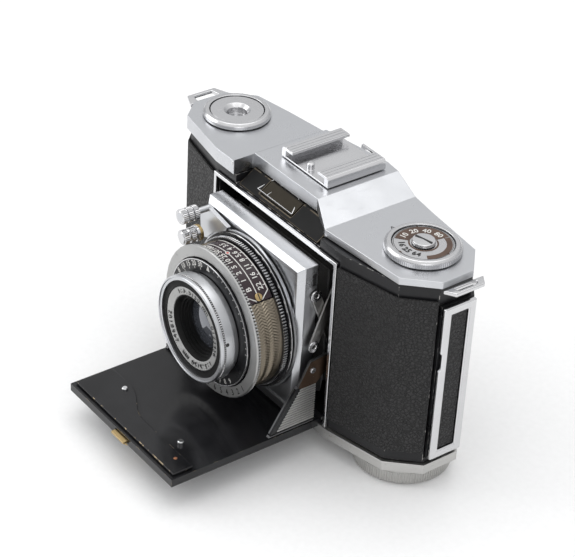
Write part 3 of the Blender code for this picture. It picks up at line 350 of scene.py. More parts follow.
# painted shade: the near-black colour stands for the dark, shaded inside of the finder seen through the
# window
FINDER_GLASS = glass(
    "finder_glass_painted_dark_inside", (0.006, 0.005, 0.004), (1.0, 0.86, 0.62), coat=0.0, index=1.45, shine=0.16
)
# painted shade: a darkened steel for the gussets, so that the gaps between their ribs read as shade
RIB_SHADE_STEEL = metal("steel_with_painted_rib_shade", (0.16, 0.16, 0.165), 0.38, 0.3, 0.006, marks=0.4)
WHITE_PAINT = paint("white_paint", (0.72, 0.71, 0.68))
RED_PAINT = paint("red_paint", (0.5, 0.03, 0.02))
# black for the printed figures and lines, and also painted shade in the screw slots, the keyhole, the
# set-screw hole and the knurl groove
BLACK_PAINT_AND_SHADE = paint("black_paint_and_painted_shade", (0.012, 0.012, 0.012), 0.4)


# ---------------------------------------------------------------- making pieces


def finished(name, mesh, body, finish, replaced=(), angle=32.0, settle=True):
    """A piece from a bmesh in millimetres: closed up, shaded, given its finish and set on its body."""
    if settle:
        bmesh.ops.remove_doubles(mesh, verts=mesh.verts, dist=0.002)
        bmesh.ops.recalc_face_normals(mesh, faces=mesh.faces)
    bmesh.ops.scale(mesh, verts=mesh.verts, vec=(MM, MM, MM))
    data = bpy.data.meshes.new(name)
    mesh.to_mesh(data)
    mesh.free()
    data.shade_smooth()
    data.set_sharp_from_angle(angle=math.radians(angle))
    data.materials.append(finish)
    made = bpy.data.objects.new(name, data)
    bpy.context.scene.collection.objects.link(made)
    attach(made, body)
    if replaced:
        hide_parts(*replaced)
    even_shading(made)
    return made


def softened(node, finish, width, segments=2, sharp_angle=28.0):
    """A CAD node's own shape with rounded edges, standing for the node."""
    mesh = bmesh.new()
    mesh.from_mesh(frame["nodes"][node].data)
    bmesh.ops.scale(mesh, verts=mesh.verts, vec=(1 / MM, 1 / MM, 1 / MM))
    bmesh.ops.remove_doubles(mesh, verts=mesh.verts, dist=0.002)
    bmesh.ops.dissolve_limit(mesh, angle_limit=math.radians(1.5), verts=mesh.verts, edges=mesh.edges)
    rim = mesh.loops.layers.float.new(RIM)
    limit = math.radians(sharp_angle)
    between = [edge for edge in mesh.edges if len(edge.link_faces) == 2]
    sharp = [edge for edge in between if edge.calc_face_angle(0.0) > limit]
    rounded = bmesh.ops.bevel(
        mesh,
        geom=sharp,
        offset=width,
        offset_type="OFFSET",
        segments=segments,
        profile=0.6,
        affect="EDGES",
        clamp_overlap=True,
        miter_outer="ARC",
    )
    for face in rounded["faces"]:
        for loop in face.loops:
            loop[rim] = 1.0
    body = frame["nodes"][node]["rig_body"]
    return finished(node + "_finished", mesh, body, finish, (node,), angle=60.0, settle=False)


def even_shading(made):
    """Keeps the flats flat next to rounded edges."""
    made.modifiers.new("even", "WEIGHTED_NORMAL").keep_sharp = True
    graph = bpy.context.evaluated_depsgraph_get()
    data = bpy.data.meshes.new_from_object(
        made.evaluated_get(graph), preserve_all_data_layers=True, depsgraph=graph
    )
    made.modifiers.clear()
    made.data = data


def turned(profile, steps=120):
    """A closed (radius, distance along the axis) profile turned round Z."""
    mesh = bmesh.new()
    ring = [mesh.verts.new((radius, 0.0, along)) for radius, along in profile]
    edges = [mesh.edges.new((start, ring[(i + 1) % len(ring)])) for i, start in enumerate(ring)]
    bmesh.ops.spin(
        mesh,
        geom=ring + edges,
        cent=(0, 0, 0),
        axis=(0, 0, 1),
        angle=math.tau,
        steps=steps,
        use_merge=True,
    )
    bmesh.ops.remove_doubles(mesh, verts=mesh.verts, dist=0.0005)
    return mesh


def chamfered(inner, outer, start, end, cut=0.15):
    """The profile of a ring with its four edges taken off."""
    return [
        (inner, start + cut),
        (inner + cut, start),
        (outer - cut, start),
        (outer, start + cut),
        (outer, end - cut),
        (outer - cut, end),
        (inner + cut, end),
        (inner, end - cut),
    ]


def placed(mesh, matrix):
    bmesh.ops.transform(mesh, matrix=matrix, verts=mesh.verts)
    return mesh


def together(*meshes):
    """Several bmeshes as one."""
    whole = bmesh.new()
    for mesh in meshes:
        data = bpy.data.meshes.new("part")
        mesh.to_mesh(data)
        mesh.free()
        whole.from_mesh(data)
        bpy.data.meshes.remove(data)
    return whole


def block(start, end, cut=0.0):
    """A box with its edges taken off by cut."""
    mesh = bmesh.new()
    start, end = Vector(start), Vector(end)
    bmesh.ops.create_cube(mesh, size=1.0)
    bmesh.ops.scale(mesh, verts=mesh.verts, vec=end - start)
    bmesh.ops.translate(mesh, verts=mesh.verts, vec=(start + end) / 2)
    if cut:
        bmesh.ops.bevel(
            mesh,
            geom=mesh.edges[:],
            offset=cut,
            segments=2,
            profile=0.6,
            affect="EDGES",
            clamp_overlap=True,
        )
    return mesh


def geometry_tree(name, sizes):
    """An empty geometry tree with named inputs; sizes is a list of (name, socket type)."""
    tree = bpy.data.node_groups.new(name, "GeometryNodeTree")
    for label, kind in sizes:
        tree.interface.new_socket(label, in_out="INPUT", socket_type=kind)
    tree.interface.new_socket("Geometry", in_out="OUTPUT", socket_type="NodeSocketGeometry")
    return tree


def columns_tree():
    """Straight columns standing side by side round a circle, each turned to point outwards."""
    tree = geometry_tree(
        "columns_round_a_rim",
        [
            ("Count", "NodeSocketInt"),
            ("Rim Radius", "NodeSocketFloat"),
            ("Column Radius", "NodeSocketFloat"),
            ("Column Length", "NodeSocketFloat"),
            ("Sides", "NodeSocketInt"),
            ("Finish", "NodeSocketMaterial"),
        ],
    )
    given = add(tree, "NodeGroupInput").outputs
    rim = add(
        tree, "GeometryNodeMeshCircle", {"Vertices": given["Count"], "Radius": given["Rim Radius"]}
    )
    column = add(
        tree,
        "GeometryNodeMeshCylinder",
        {"Vertices": given["Sides"], "Radius": given["Column Radius"], "Depth": given["Column Length"]},
    )
    step = add(tree, "ShaderNodeMath", {0: math.tau, 1: given["Count"]}, operation="DIVIDE")
    index = add(tree, "GeometryNodeInputIndex")
    turn = add(tree, "ShaderNodeMath", {0: index.outputs[0], 1: step.outputs[0]}, operation="MULTIPLY")
    aim = add(tree, "ShaderNodeCombineXYZ", {"Z": turn.outputs[0]})
    stood = add(
        tree,
        "GeometryNodeInstanceOnPoints",
        {
            "Points": rim.outputs["Mesh"],
            "Instance": column.outputs["Mesh"],
            "Rotation": aim.outputs["Vector"],
        },
    )
    real = add(tree, "GeometryNodeRealizeInstances", {"Geometry": stood.outputs["Instances"]})
    coloured = add(
        tree,
        "GeometryNodeSetMaterial",
        {"Geometry": real.outputs["Geometry"], "Material": given["Finish"]},
    )
    add(tree, "NodeGroupOutput", {"Geometry": coloured.outputs["Geometry"]})
    return tree


COLUMNS = columns_tree()


def grown_mesh(tree, values):
    """The plain mesh that a geometry tree makes from named values."""
    holder = bpy.data.objects.new("holder", bpy.data.meshes.new("holder"))
    bpy.context.scene.collection.objects.link(holder)
    modifier = holder.modifiers.new("grow", "NODES")
    modifier.node_group = tree
    for item in tree.interface.items_tree:
        if item.in_out == "INPUT":
            modifier[item.identifier] = values[item.name]
    graph = bpy.context.evaluated_depsgraph_get()
    data = bpy.data.meshes.new_from_object(holder.evaluated_get(graph), depsgraph=graph)
    bpy.data.objects.remove(holder)
    mesh = bmesh.new()
    mesh.from_mesh(data)
    bpy.data.meshes.remove(data)
    return mesh


def columns(count, rim, radius, start, end, sides, finish):
    """Columns round a rim between two distances along Z."""
    mesh = grown_mesh(
        COLUMNS,
        {
            "Count": count,
            "Rim Radius": rim,
            "Column Radius": radius,
            "Column Length": end - start,
            "Sides": sides,
            "Finish": finish,
        },
    )
    bmesh.ops.translate(mesh, verts=mesh.verts, vec=(0, 0, (start + end) / 2))
    return mesh


def written(text, size):
    """Figures as a thin closed mesh lying in XY, centred, size millimetres high."""
    curve = bpy.data.curves.new("figures", "FONT")
    curve.body = text
    curve.size = size * 1.38
    curve.align_x = "CENTER"
    curve.align_y = "CENTER"
    curve.resolution_u = 2
    curve.extrude = PAINT / 2
    curve.offset = 0.022 * size
    holder = bpy.data.objects.new("figures", curve)
    bpy.context.scene.collection.objects.link(holder)
    graph = bpy.context.evaluated_depsgraph_get()
    data = bpy.data.meshes.new_from_object(holder.evaluated_get(graph), depsgraph=graph)
    bpy.data.objects.remove(holder)
    mesh = bmesh.new()
    mesh.from_mesh(data)
    bpy.data.meshes.remove(data)
    return mesh


def spread(mesh, place):
    """Every point (u, v, w) of a flat marking moved to where place(u, v, w) puts it."""
    for vertex in mesh.verts:
        vertex.co = place(*vertex.co)
    return mesh


def stitched(rows):
    """A closed bar through rows of points that all go round it the same way."""
    mesh = bmesh.new()
    loops = [[mesh.verts.new(point) for point in row] for row in rows]
    for first, second in zip(loops, loops[1:]):
        for i in range(len(first)):
            j = (i + 1) % len(first)
            mesh.faces.new((first[i], first[j], second[j], second[i]))
    mesh.faces.new(loops[0][::-1])
    mesh.faces.new(loops[-1])
    return mesh


def bar(start, end, width, pieces=1):
    """A painted line in XY, in enough pieces to be bent round a drum."""
    start, end = Vector((*start, 0.0)), Vector((*end, 0.0))
    way = end - start
    across = Vector((-way.y, way.x, 0.0)).normalized() * width / 2
    lift = Vector((0.0, 0.0, PAINT))
    rows = []
    for i in range(pieces + 1):
        spot = start + way * i / pieces
        rows.append((spot - across, spot + across, spot + across + lift, spot - across + lift))
    return stitched(rows)


def sector(inner, outer, first, last, start, end):
    """Part of a flat ring round Z, between two angles in degrees."""
    pieces = max(2, round(abs(last - first) / 4))
    rows = []
    for i in range(pieces + 1):
        angle = math.radians(first + (last - first) * i / pieces)
        across, up = math.cos(angle), math.sin(angle)
        corners = ((inner, start), (outer, start), (outer, end), (inner, end))
        rows.append([(radius * across, radius * up, along) for radius, along in corners])
    return stitched(rows)


def wire(start, end, radius):
    """A straight round wire between two points."""
    start, end = Vector(start), Vector(end)
    turn = (end - start).to_track_quat("Z", "Y").to_matrix()
    corners = [(math.cos(math.tau * i / 8), math.sin(math.tau * i / 8)) for i in range(8)]
    round_shape = [turn @ Vector((radius * x, radius * y, 0.0)) for x, y in corners]
    return stitched([[centre + point for point in round_shape] for centre in (start, end)])


def plate(outline, start, end):
    """A flat plate square to X from a (y, z) outline."""
    return stitched([[(x, y, z) for y, z in outline] for x in (start, end)])


def disc(radius, start, end, cut=0.1):
    """A button with a rounded front edge, round Z."""
    return turned([(0, start), (radius, start), (radius, end - cut), (radius - cut, end), (0, end)], 28)


def wrapped(mesh, radius, angle, along, reading=1.0):
    """A flat marking bent round the lens; reading is 1 when it is read from behind, -1 from in front."""

    def place(u, v, w):
        turn = math.radians(angle) + reading * u / radius
        out = radius + w
        return LENS_AXIS @ Vector((out * math.cos(turn), out * math.sin(turn), along + reading * v))

    return spread(mesh, place)


def faced(mesh, radius, angle, along, outwards=True):
    """A flat marking set on a front face of the lens with its top away from the axis, or towards it."""
    turn = math.radians(angle)
    where = Matrix.Translation((radius * math.cos(turn), radius * math.sin(turn), along))
    upright = Matrix.Rotation(turn + (-1 if outwards else 1) * math.pi / 2, 4, "Z")
    return placed(mesh, LENS_AXIS @ where @ upright)


# ---------------------------------------------------------------- body shells

softened("body_casting", CASE_ENAMEL, 0.35)
softened("top_cover", SATIN_CHROME, 0.25, 2, sharp_angle=9.0)
softened("base_plate", SCUFFED_ALUMINIUM, 0.35)
softened("door_trim", BRIGHT_CHROME, 0.2)
softened("tripod_bush", PLAIN_STEEL, 0.2)
softened("strap_lug_left", BRIGHT_CHROME, 0.3)
softened("strap_lug_right", BRIGHT_CHROME, 0.3)
for hide in ("front_leather_left", "front_leather_right", "end_leather", "back_leather"):
    softened(hide, GRAINED_LEATHER, 0.2)
softened("back_door", CASE_ENAMEL, 0.3)
softened("end_frame", BRIGHT_CHROME, 0.3)
softened("back_hinge_pin", PLAIN_STEEL, 0.15)
softened("pressure_plate", MATT_BLACK, 0.2)
softened("pressure_spring", PLAIN_STEEL, 0.1)

FACING_FRONT = Matrix.Rotation(math.pi / 2, 4, "X")
FASCIA_RIVET = Matrix.Translation((-21.45, low("top_cover").y, 69.8))
finished("fascia_rivet", placed(disc(0.5, -0.1, 0.18), FASCIA_RIVET @ FACING_FRONT), "body", BRIGHT_CHROME)

# ---------------------------------------------------------------- finder and shoe

softened("finder_mask", MATT_BLACK, 0.2)
softened("finder_window", FINDER_GLASS, 0.12)
softened("finder_tube", MATT_BLACK, 0.15)
softened("finder_rear_lens", FINDER_GLASS, 0.12)
pane_low, pane_high = low("finder_window"), high("finder_window")
pane = (
    (pane_low.x - 2.0, pane_low.y + 0.4, pane_low.z + 0.35),
    (pane_high.x - 0.4, pane_low.y + 0.4, pane_low.z + 0.35),
    (pane_high.x - 3.0, pane_high.y - 0.3, pane_high.z + 0.12),
    (pane_low.x, pane_high.y - 0.3, pane_high.z + 0.12),
)
divider = ((pane_low.x + 2.6, *pane[0][1:]), (pane_low.x + 3.8, *pane[2][1:]))
wires = [wire(start, pane[(i + 1) % 4], 0.16) for i, start in enumerate(pane)] + [wire(*divider, 0.1)]
finished("finder_frame_lines", together(*wires), "body", BRIGHT_CHROME)
softened("eyepiece_frame", BRIGHT_CHROME, 0.12)
softened("accessory_shoe", BRIGHT_CHROME, 0.14)

RIDGES_OUT = (6.9, 8.2, 9.5)  # from the middle of the shoe
RIDGE_HALF_WIDTH = 0.22
shoe_low, shoe_high = low("accessory_shoe"), high("accessory_shoe")
ridges = []
for out in [side * out for side in (-1, 1) for out in RIDGES_OUT]:
    x = middle("accessory_shoe").x + out
    start = (x - RIDGE_HALF_WIDTH, shoe_low.y + 0.3, shoe_high.z - 0.1)
    ridges.append(block(start, (x + RIDGE_HALF_WIDTH, shoe_high.y - 0.3, shoe_high.z + 0.14), 0.1))
finished("shoe_lip_ridges", together(*ridges), "body", BRIGHT_CHROME)

# ---------------------------------------------------------------- controls

softened("release_collar", TURNED_CHROME, 0.2)
softened("release_button", TURNED_CHROME, 0.15)
spring = softened("release_spring", PLAIN_STEEL, 0.05)
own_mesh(spring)
softened("winding_shaft", PLAIN_STEEL, 0.15)
softened("rewind_fork", PLAIN_STEEL, 0.15)
softened("take_up_spool", MATT_BLACK, 0.2)

FLUTES = 112
FLUTE_RADIUS = 0.33
FLUTE_DEPTH = 0.14  # from the knob's own rim in to each flute's middle
PLAIN_BAND = 0.7  # left smooth above and below the flutes
for knob, body in (("winding_knob", "winder"), ("rewind_knob", "rewinder")):
    softened(knob, KNOB_ALUMINIUM, 0.25)
    centre = middle(knob)
    foot, top = low(knob).z + PLAIN_BAND, high(knob).z - PLAIN_BAND
    reach = high(knob).x - centre.x - FLUTE_DEPTH
    flutes = columns(FLUTES, reach, FLUTE_RADIUS, foot, top, 8, KNOB_ALUMINIUM)
    placed(flutes, Matrix.Translation((centre.x, centre.y, 0)))
    finished(knob + "_flutes", flutes, body, KNOB_ALUMINIUM)

softened("dial_disc", TURNED_CHROME, 0.1)
softened("dial_rim", TURNED_CHROME, 0.2)
softened("dial_screw", BRIGHT_CHROME, 0.15)
DIAL = Matrix.Translation((middle("dial_rim").x, middle("dial_rim").y, 0))
DIAL_RADIUS = high("dial_rim").x - middle("dial_rim").x
DIAL_FACE = high("dial_disc").z
milling = columns(
    104, DIAL_RADIUS - 0.1, 0.3, low("dial_rim").z + 0.1, high("dial_rim").z - 0.85, 6, TURNED_CHROME
)
finished("dial_milling", placed(milling, DIAL), "dial", TURNED_CHROME)
PAINTED = (DIAL_FACE - 0.1, DIAL_FACE + PAINT)  # from inside the disc to the paint's face
FIELD_OUTER = 8.3
FIELDS = ((4.0, FIELD_OUTER, 80, 220), (6.6, FIELD_OUTER, -32, 78), (3.9, 4.4, 222, 436))
POINTERS = (153, 16, 270)
brown = [sector(*field, *PAINTED) for field in FIELDS]
for angle in POINTERS:
    corners = ((FIELD_OUTER - 0.1, -0.6), (FIELD_OUTER + 0.6, 0.0), (FIELD_OUTER - 0.1, 0.6))
    tip = stitched([[(x, y, z) for x, y in corners] for z in PAINTED])
    brown.append(placed(tip, Matrix.Rotation(math.radians(angle), 4, "Z")))
finished("dial_brown_fields", placed(together(*brown), DIAL), "dial", DIAL_BROWN)


FIGURES_RADIUS = 6.3


def dial_figures(labels, first, step, outwards):
    """Figures round the dial, each with its top away from the centre or towards it."""
    marks = []
    for i, label in enumerate(labels):
        turn = math.radians(first + step * i)
        across, up = FIGURES_RADIUS * math.cos(turn), FIGURES_RADIUS * math.sin(turn)
        where = Matrix.Translation((across, up, DIAL_FACE + 1.2 * PAINT))
        upright = Matrix.Rotation(turn + (-1 if outwards else 1) * math.pi / 2, 4, "Z")
        marks.append(placed(written(label, 1.9), where @ upright))
    return placed(together(*marks), DIAL)


light_figures = dial_figures(("10", "20", "40", "80"), 200, -34, True)
finished("dial_light_figures", light_figures, "dial", WHITE_PAINT)
dark_figures = dial_figures(("16", "25", "64"), 242, 30, False)
finished("dial_dark_figures", dark_figures, "dial", BLACK_PAINT_AND_SHADE)
circle = turned(chamfered(FIELD_OUTER + 0.15, FIELD_OUTER + 0.3, *PAINTED, 0.02), 90)
finished("dial_circle", placed(circle, DIAL), "dial", BLACK_PAINT_AND_SHADE)
SCREW_TOP = high("dial_screw").z
# painted shade: a black block stands for the shade down in the screw's slot
slot = block((-2.9, -0.28, SCREW_TOP - 0.3), (2.9, 0.28, SCREW_TOP + 0.03))
slot = placed(slot, DIAL @ Matrix.Rotation(math.radians(14), 4, "Z"))
finished("dial_screw_slot", slot, "dial", BLACK_PAINT_AND_SHADE)
INDEX_CORNERS = ((30.0, 0.8), (32.2, 1.8), (32.7, -0.7))
lines = [bar(start, INDEX_CORNERS[(i + 1) % 3], 0.25) for i, start in enumerate(INDEX_CORNERS)]
index_mark = placed(together(*lines), Matrix.Translation((0, 0, low("dial_rim").z - 0.3)))
finished("dial_index", index_mark, "body", BLACK_PAINT_AND_SHADE)

# ---------------------------------------------------------------- door and struts

softened("door_plate", DOOR_ENAMEL, 0.4, 3)
softened("door_raised_plate", DOOR_ENAMEL, 0.22)
softened("door_hinge_pin", PLAIN_STEEL, 0.1)
softened("latch_tongue", BRASS, 0.2)
PANEL_TOP = high("door_raised_plate").z
STUDS = ((-15.1, -60.5, PANEL_TOP), (15.1, -60.5, high("door_plate").z))
studs = [placed(disc(0.95, -0.6, 0.7, 0.25), Matrix.Translation(place)) for place in STUDS]
finished("door_studs", together(*studs), "door", BRIGHT_CHROME)
rivet = placed(disc(0.55, -0.2, 0.16), Matrix.Translation((20.8, -66.2, PANEL_TOP)))
finished("door_rivet", rivet, "door", COPPER)

WALL_FOOT = 6.6
WALL_BACK = -21.2
SLOPE = ((-37.2, WALL_FOOT), (-28.5, 20.3))
STAY = ((-27.8, 19.6), (-21.4, 19.4), (-16.9, 24.0), (-16.9, 28.8), (-23.4, 28.0))
WALL_FACE = 27.4
FLANGE_WIDTH = 1.9
RIBS = 15
RIB_PITCH = 0.86
RIB_HALF_HEIGHT = 0.24
STRUT_PIVOTS = (("upper", -21.0, 49.3, 0.18), ("lower", -21.6, 32.2, 0.35))  # y, z, washer height
for side, word in ((-1, "left"), (1, "right")):
    # the gusset plate is darkened as painted shade between the ribs laid over it
    softened("gusset_" + word, RIB_SHADE_STEEL, 0.1)
    (foot_y, foot_z), (peak_y, peak_z) = SLOPE
    ribs = []
    for i in range(RIBS):
        z = WALL_FOOT + 0.9 + RIB_PITCH * i
        front = foot_y + (peak_y - foot_y) * (z - foot_z) / (peak_z - foot_z) + FLANGE_WIDTH
        near, far = sorted((side * (WALL_FACE - 0.1), side * (WALL_FACE + 0.3)))
        start = (near, front, z - RIB_HALF_HEIGHT)
        ribs.append(block(start, (far, WALL_BACK, z + RIB_HALF_HEIGHT), 0.1))
    finished("gusset_ribs_" + word, together(*ribs), "door", SCUFFED_ALUMINIUM)
    outline = (SLOPE[0], (foot_y + FLANGE_WIDTH, foot_z), (peak_y + FLANGE_WIDTH, peak_z - 0.3), SLOPE[1])
    near, far = sorted((side * (WALL_FACE - 1.1), side * (WALL_FACE + 0.24)))
    edge = plate(outline, side * (WALL_FACE - 0.6), side * (WALL_FACE + 0.24))
    foot = block((near, foot_y, WALL_FOOT - 0.1), (far, WALL_BACK, WALL_FOOT + 0.35))
    finished("gusset_flange_" + word, together(edge, foot), "door", DOOR_ENAMEL)
    stay = plate(STAY, side * (WALL_FACE - 0.2), side * (WALL_FACE + 0.1))
    finished("gusset_stay_" + word, stay, "door", BRONZE)
    outwards = Matrix.Rotation(side * math.pi / 2, 4, "Y")
    place = Matrix.Translation((side * WALL_FACE, -22.6, 25.0)) @ outwards
    head = placed(disc(1.0, -0.4, 0.5, 0.3), place)
    finished("gusset_rivet_" + word, head, "door", BRIGHT_CHROME)

    for level, y, z, proud in STRUT_PIVOTS:
        arm = f"{level}_arm_{word}"
        softened(arm, PLAIN_STEEL, 0.1)
        outer = max(abs(low(arm).x), abs(high(arm).x))
        place = Matrix.Translation((side * outer, y, z)) @ outwards
        washer = placed(turned(chamfered(0.75, 1.9, -0.05, proud, 0.1), 40), place)
        finished(arm + "_washer", washer, frame["nodes"][arm]["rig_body"], BRIGHT_CHROME)
        eye = placed(disc(0.6, -0.05, 0.12, 0.04), place)
        finished(arm + "_pin", eye, frame["nodes"][arm]["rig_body"], BLACK_PAINT_AND_SHADE)

bellows = softened("bellows", BELLOWS_CLOTH, 0.25)
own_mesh(bellows)

# ---------------------------------------------------------------- lens unit
# Distances along the lens axis are measured forwards from the frame's origin.

LARGE = 160  # steps round the large rings

softened("standard_frame", SATIN_CHROME, 0.2)
SIDE = high("standard_frame").x
# painted shade: the keyhole slot and its round eye are black, standing for the shade down in the opening
keyhole_top = Vector((SIDE, -21.4, 56.0))
slot = block(keyhole_top + Vector((-0.2, -0.5, -3.4)), keyhole_top + Vector((0.04, 0.5, 0.0)))
eye = placed(disc(0.75, -0.2, 0.05), Matrix.Translation(keyhole_top) @ Matrix.Rotation(math.pi / 2, 4, "Y"))
finished("standard_keyhole", together(slot, eye), "standard", BLACK_PAINT_AND_SHADE)
softened("shutter_flange", RING_ENAMEL, 0.15)
softened("shutter_case", RING_ENAMEL, 0.2)
softened("speed_ring", RING_ALUMINIUM, 0.12)
softened("iris_blades", RING_ENAMEL, 0.05)
softened("shutter_blades", PLAIN_STEEL, 0.05)
softened("rear_lens", LENS_GLASS, 0.1)
softened("rear_lens_cell", RING_ENAMEL, 0.12)
softened("cocking_lever", SATIN_CHROME, 0.12)
softened("sync_terminal", BRIGHT_CHROME, 0.12)
base = turned(chamfered(1.5, 2.56, 31.15, 32.2, 0.1), 36)
finished("sync_base", placed(base, LENS_AXIS @ Matrix.Translation((-19.9, 17.7, 0))), "standard", BRASS)

FLANGE_RADIUS = high("shutter_flange").x
HOOPS = (28.3, 26.6, 24.6)
hoops = []
for along in HOOPS:
    hoop = chamfered(FLANGE_RADIUS - 0.5, FLANGE_RADIUS + 0.05, along - 0.28, along, 0.08)
    hoops.append(turned(hoop, LARGE))
finished("flange_hoops", placed(together(*hoops), LENS_AXIS), "standard", TURNED_CHROME)

BEADS = (
    ("cocking_bead", "cocking", (-20.4, 24.8), 32.15, 2.1, 3),
    ("sync_bead", "standard", (-19.9, 17.7), 33.5, 2.4, 2),
)
for name, body, (x, z), first, step, count in BEADS:
    knurls = []
    for i in range(count):
        start = first + step * i
        knurls.append(columns(26, 2.08, 0.26, start, start + 1.6, 6, BRIGHT_CHROME))
        knurls.append(turned(chamfered(1.2, 2.14, start - 0.12, start + 1.72, 0.3), 26))
    bead = placed(together(*knurls), LENS_AXIS @ Matrix.Translation((x, z, 0)))
    finished(name, bead, body, BRIGHT_CHROME)

# The toothed ring and the grip behind the front plate.
SLEEVE_IN = 21.6
SLEEVE_OUT = 22.4
TOOTHED_RADIUS = high("aperture_ring").x
RING_BACK = -high("aperture_ring").y
SLEEVE_FRONT = -low("aperture_ring").y
SCALE_FIRST = 42.0
SCALE_LAST = 118.0
ring = turned(chamfered(SLEEVE_IN, TOOTHED_RADIUS - 0.25, RING_BACK, RING_BACK + 1.5), LARGE)
finished("toothed_ring", placed(ring, LENS_AXIS), "aperture", RING_ENAMEL, ("aperture_ring",))
teeth = columns(150, TOOTHED_RADIUS - 0.25, 0.27, RING_BACK + 0.1, RING_BACK + 1.4, 6, TURNED_CHROME)
finished("ring_teeth", placed(teeth, LENS_AXIS), "aperture", TURNED_CHROME)


def grip_band():
    """The bronze grip: fine ridges round the sleeve that zigzag along it."""
    first, last = SCALE_LAST + 0.8, SCALE_FIRST + 360 - 0.8
    length = math.radians(last - first) * SLEEVE_OUT
    around, across = round(length / 0.16), 26
    start, end = RING_BACK + 1.5, SLEEVE_FRONT
    mesh = bmesh.new()
    rows = []
    for i in range(around + 1):
        angle = math.radians(first + (last - first) * i / around)
        travel = length * i / around
        row = [mesh.verts.new((SLEEVE_IN * math.cos(angle), SLEEVE_IN * math.sin(angle), start))]
        for j in range(across + 1):
            along = start + (end - start) * j / across
            zigzag = abs((along / 2.9) % 1.0 - 0.5) * 4.0
            wave = math.sin(math.tau * (travel / 0.95 + 0.5 * zigzag))
            edge = min(1.0, 3.0 * min(j, across - j) / across)
            out = SLEEVE_OUT - 0.06 + 0.17 * wave * edge
            row.append(mesh.verts.new((out * math.cos(angle), out * math.sin(angle), along)))
        row.append(mesh.verts.new((SLEEVE_IN * math.cos(angle), SLEEVE_IN * math.sin(angle), end)))
        rows.append(row)
    for one, two in zip(rows, rows[1:]):
        for j in range(len(one)):
            k = (j + 1) % len(one)
            mesh.faces.new((one[j], one[k], two[k], two[j]))
    mesh.faces.new(rows[0][::-1])
    mesh.faces.new(rows[-1])
    return placed(mesh, LENS_AXIS)


finished("grip_band", grip_band(), "aperture", GRIP_BRONZE, angle=50.0)

# The speed and aperture scale.
softened("scale_window", SCALE_ENAMEL, 0.12)
SCALE_FACE = SLEEVE_OUT + 0.02
SCALE_BACK = -high("scale_window").y
LINES = (SCALE_BACK + 0.5, SCALE_BACK + 4.4, SCALE_BACK + 8.5)
SCREW_ANGLE = 45.4
LINES_FIRST = SCALE_FIRST + 6.5
SPAN = math.radians(SCALE_LAST - SCALE_FIRST - 7.5) * SCALE_FACE
marks = []
for along in LINES:
    marks.append(wrapped(bar((0, 0), (SPAN, 0), 0.3, 40), SCALE_FACE, LINES_FIRST, along))
for along in (LINES[0], LINES[2]):
    slant = bar((0, 0), (-2.2, 0.75 * (LINES[1] - along)), 0.3, 4)
    marks.append(wrapped(slant, SCALE_FACE, LINES_FIRST, along))
SPEED_LABELS = ("B", "1", "2", "5", "10", "25", "50", "100", "250")
SPEEDS = list(zip(SPEED_LABELS, (53, 61, 68, 74.5, 81, 88.5, 96, 104, 112.5)))
STOPS = list(zip(("22", "16", "11", "8", "5.6", "4", "3.5"), (53, 62, 70.5, 78, 85.5, 94, 102)))
for labels, along, edge in ((SPEEDS, 36.85, LINES[2] - 0.45), (STOPS, 33.0, LINES[0] + 0.45)):
    for label, angle in labels:
        marks.append(wrapped(written(label, 1.75), SCALE_FACE + 0.02, angle, along))
        marks.append(wrapped(bar((0, -0.4), (0, 0.4), 0.22), SCALE_FACE, angle, edge))
marks.append(wrapped(sector(0.42, 0.72, 0, 360, 0, PAINT), SCALE_FACE + 0.04, 90, LINES[1]))
finished("scale_marks", together(*marks), "aperture", WHITE_PAINT, settle=False)
dot = wrapped(disc(0.45, 0, 0.08, 0.02), SCALE_FACE + 0.02, 90, LINES[1])
finished("scale_dot", dot, "aperture", RED_PAINT)
screw = wrapped(disc(1.2, -0.4, 0.55, 0.2), SCALE_FACE, SCREW_ANGLE, LINES[1])
finished("scale_screw", screw, "aperture", BRASS)
# painted shade: a black block stands for the shade down in the screw's slot
slot = wrapped(block((-0.95, -0.17, 0.4), (0.95, 0.17, 0.58)), SCALE_FACE, SCREW_ANGLE, LINES[1])
finished("scale_screw_slot", slot, "aperture", BLACK_PAINT_AND_SHADE)

# The front plate with its teeth and figures.
PLATE_FRONT = -low("speed_ring").y
PLATE_RADIUS = high("speed_ring").x
teeth = columns(150, PLATE_RADIUS - 0.42, 0.3, SLEEVE_FRONT - 0.5, PLATE_FRONT - 0.3, 6, RING_ALUMINIUM)
core = chamfered(SLEEVE_OUT + 0.1, PLATE_RADIUS - 0.5, SLEEVE_FRONT - 0.4, PLATE_FRONT - 0.5, 0.08)
finished("plate_teeth", placed(teeth, LENS_AXIS), "speed", RING_ALUMINIUM)
finished("plate_core", placed(turned(core, LARGE), LENS_AXIS), "speed", BLACK_PAINT_AND_SHADE)
marks = [faced(written(str(i % 10), 1.9), 22.1, 330 - 8.5 * i, PLATE_FRONT, False) for i in range(1, 13)]
finished("plate_figures", together(*marks), "speed", BLACK_PAINT_AND_SHADE)

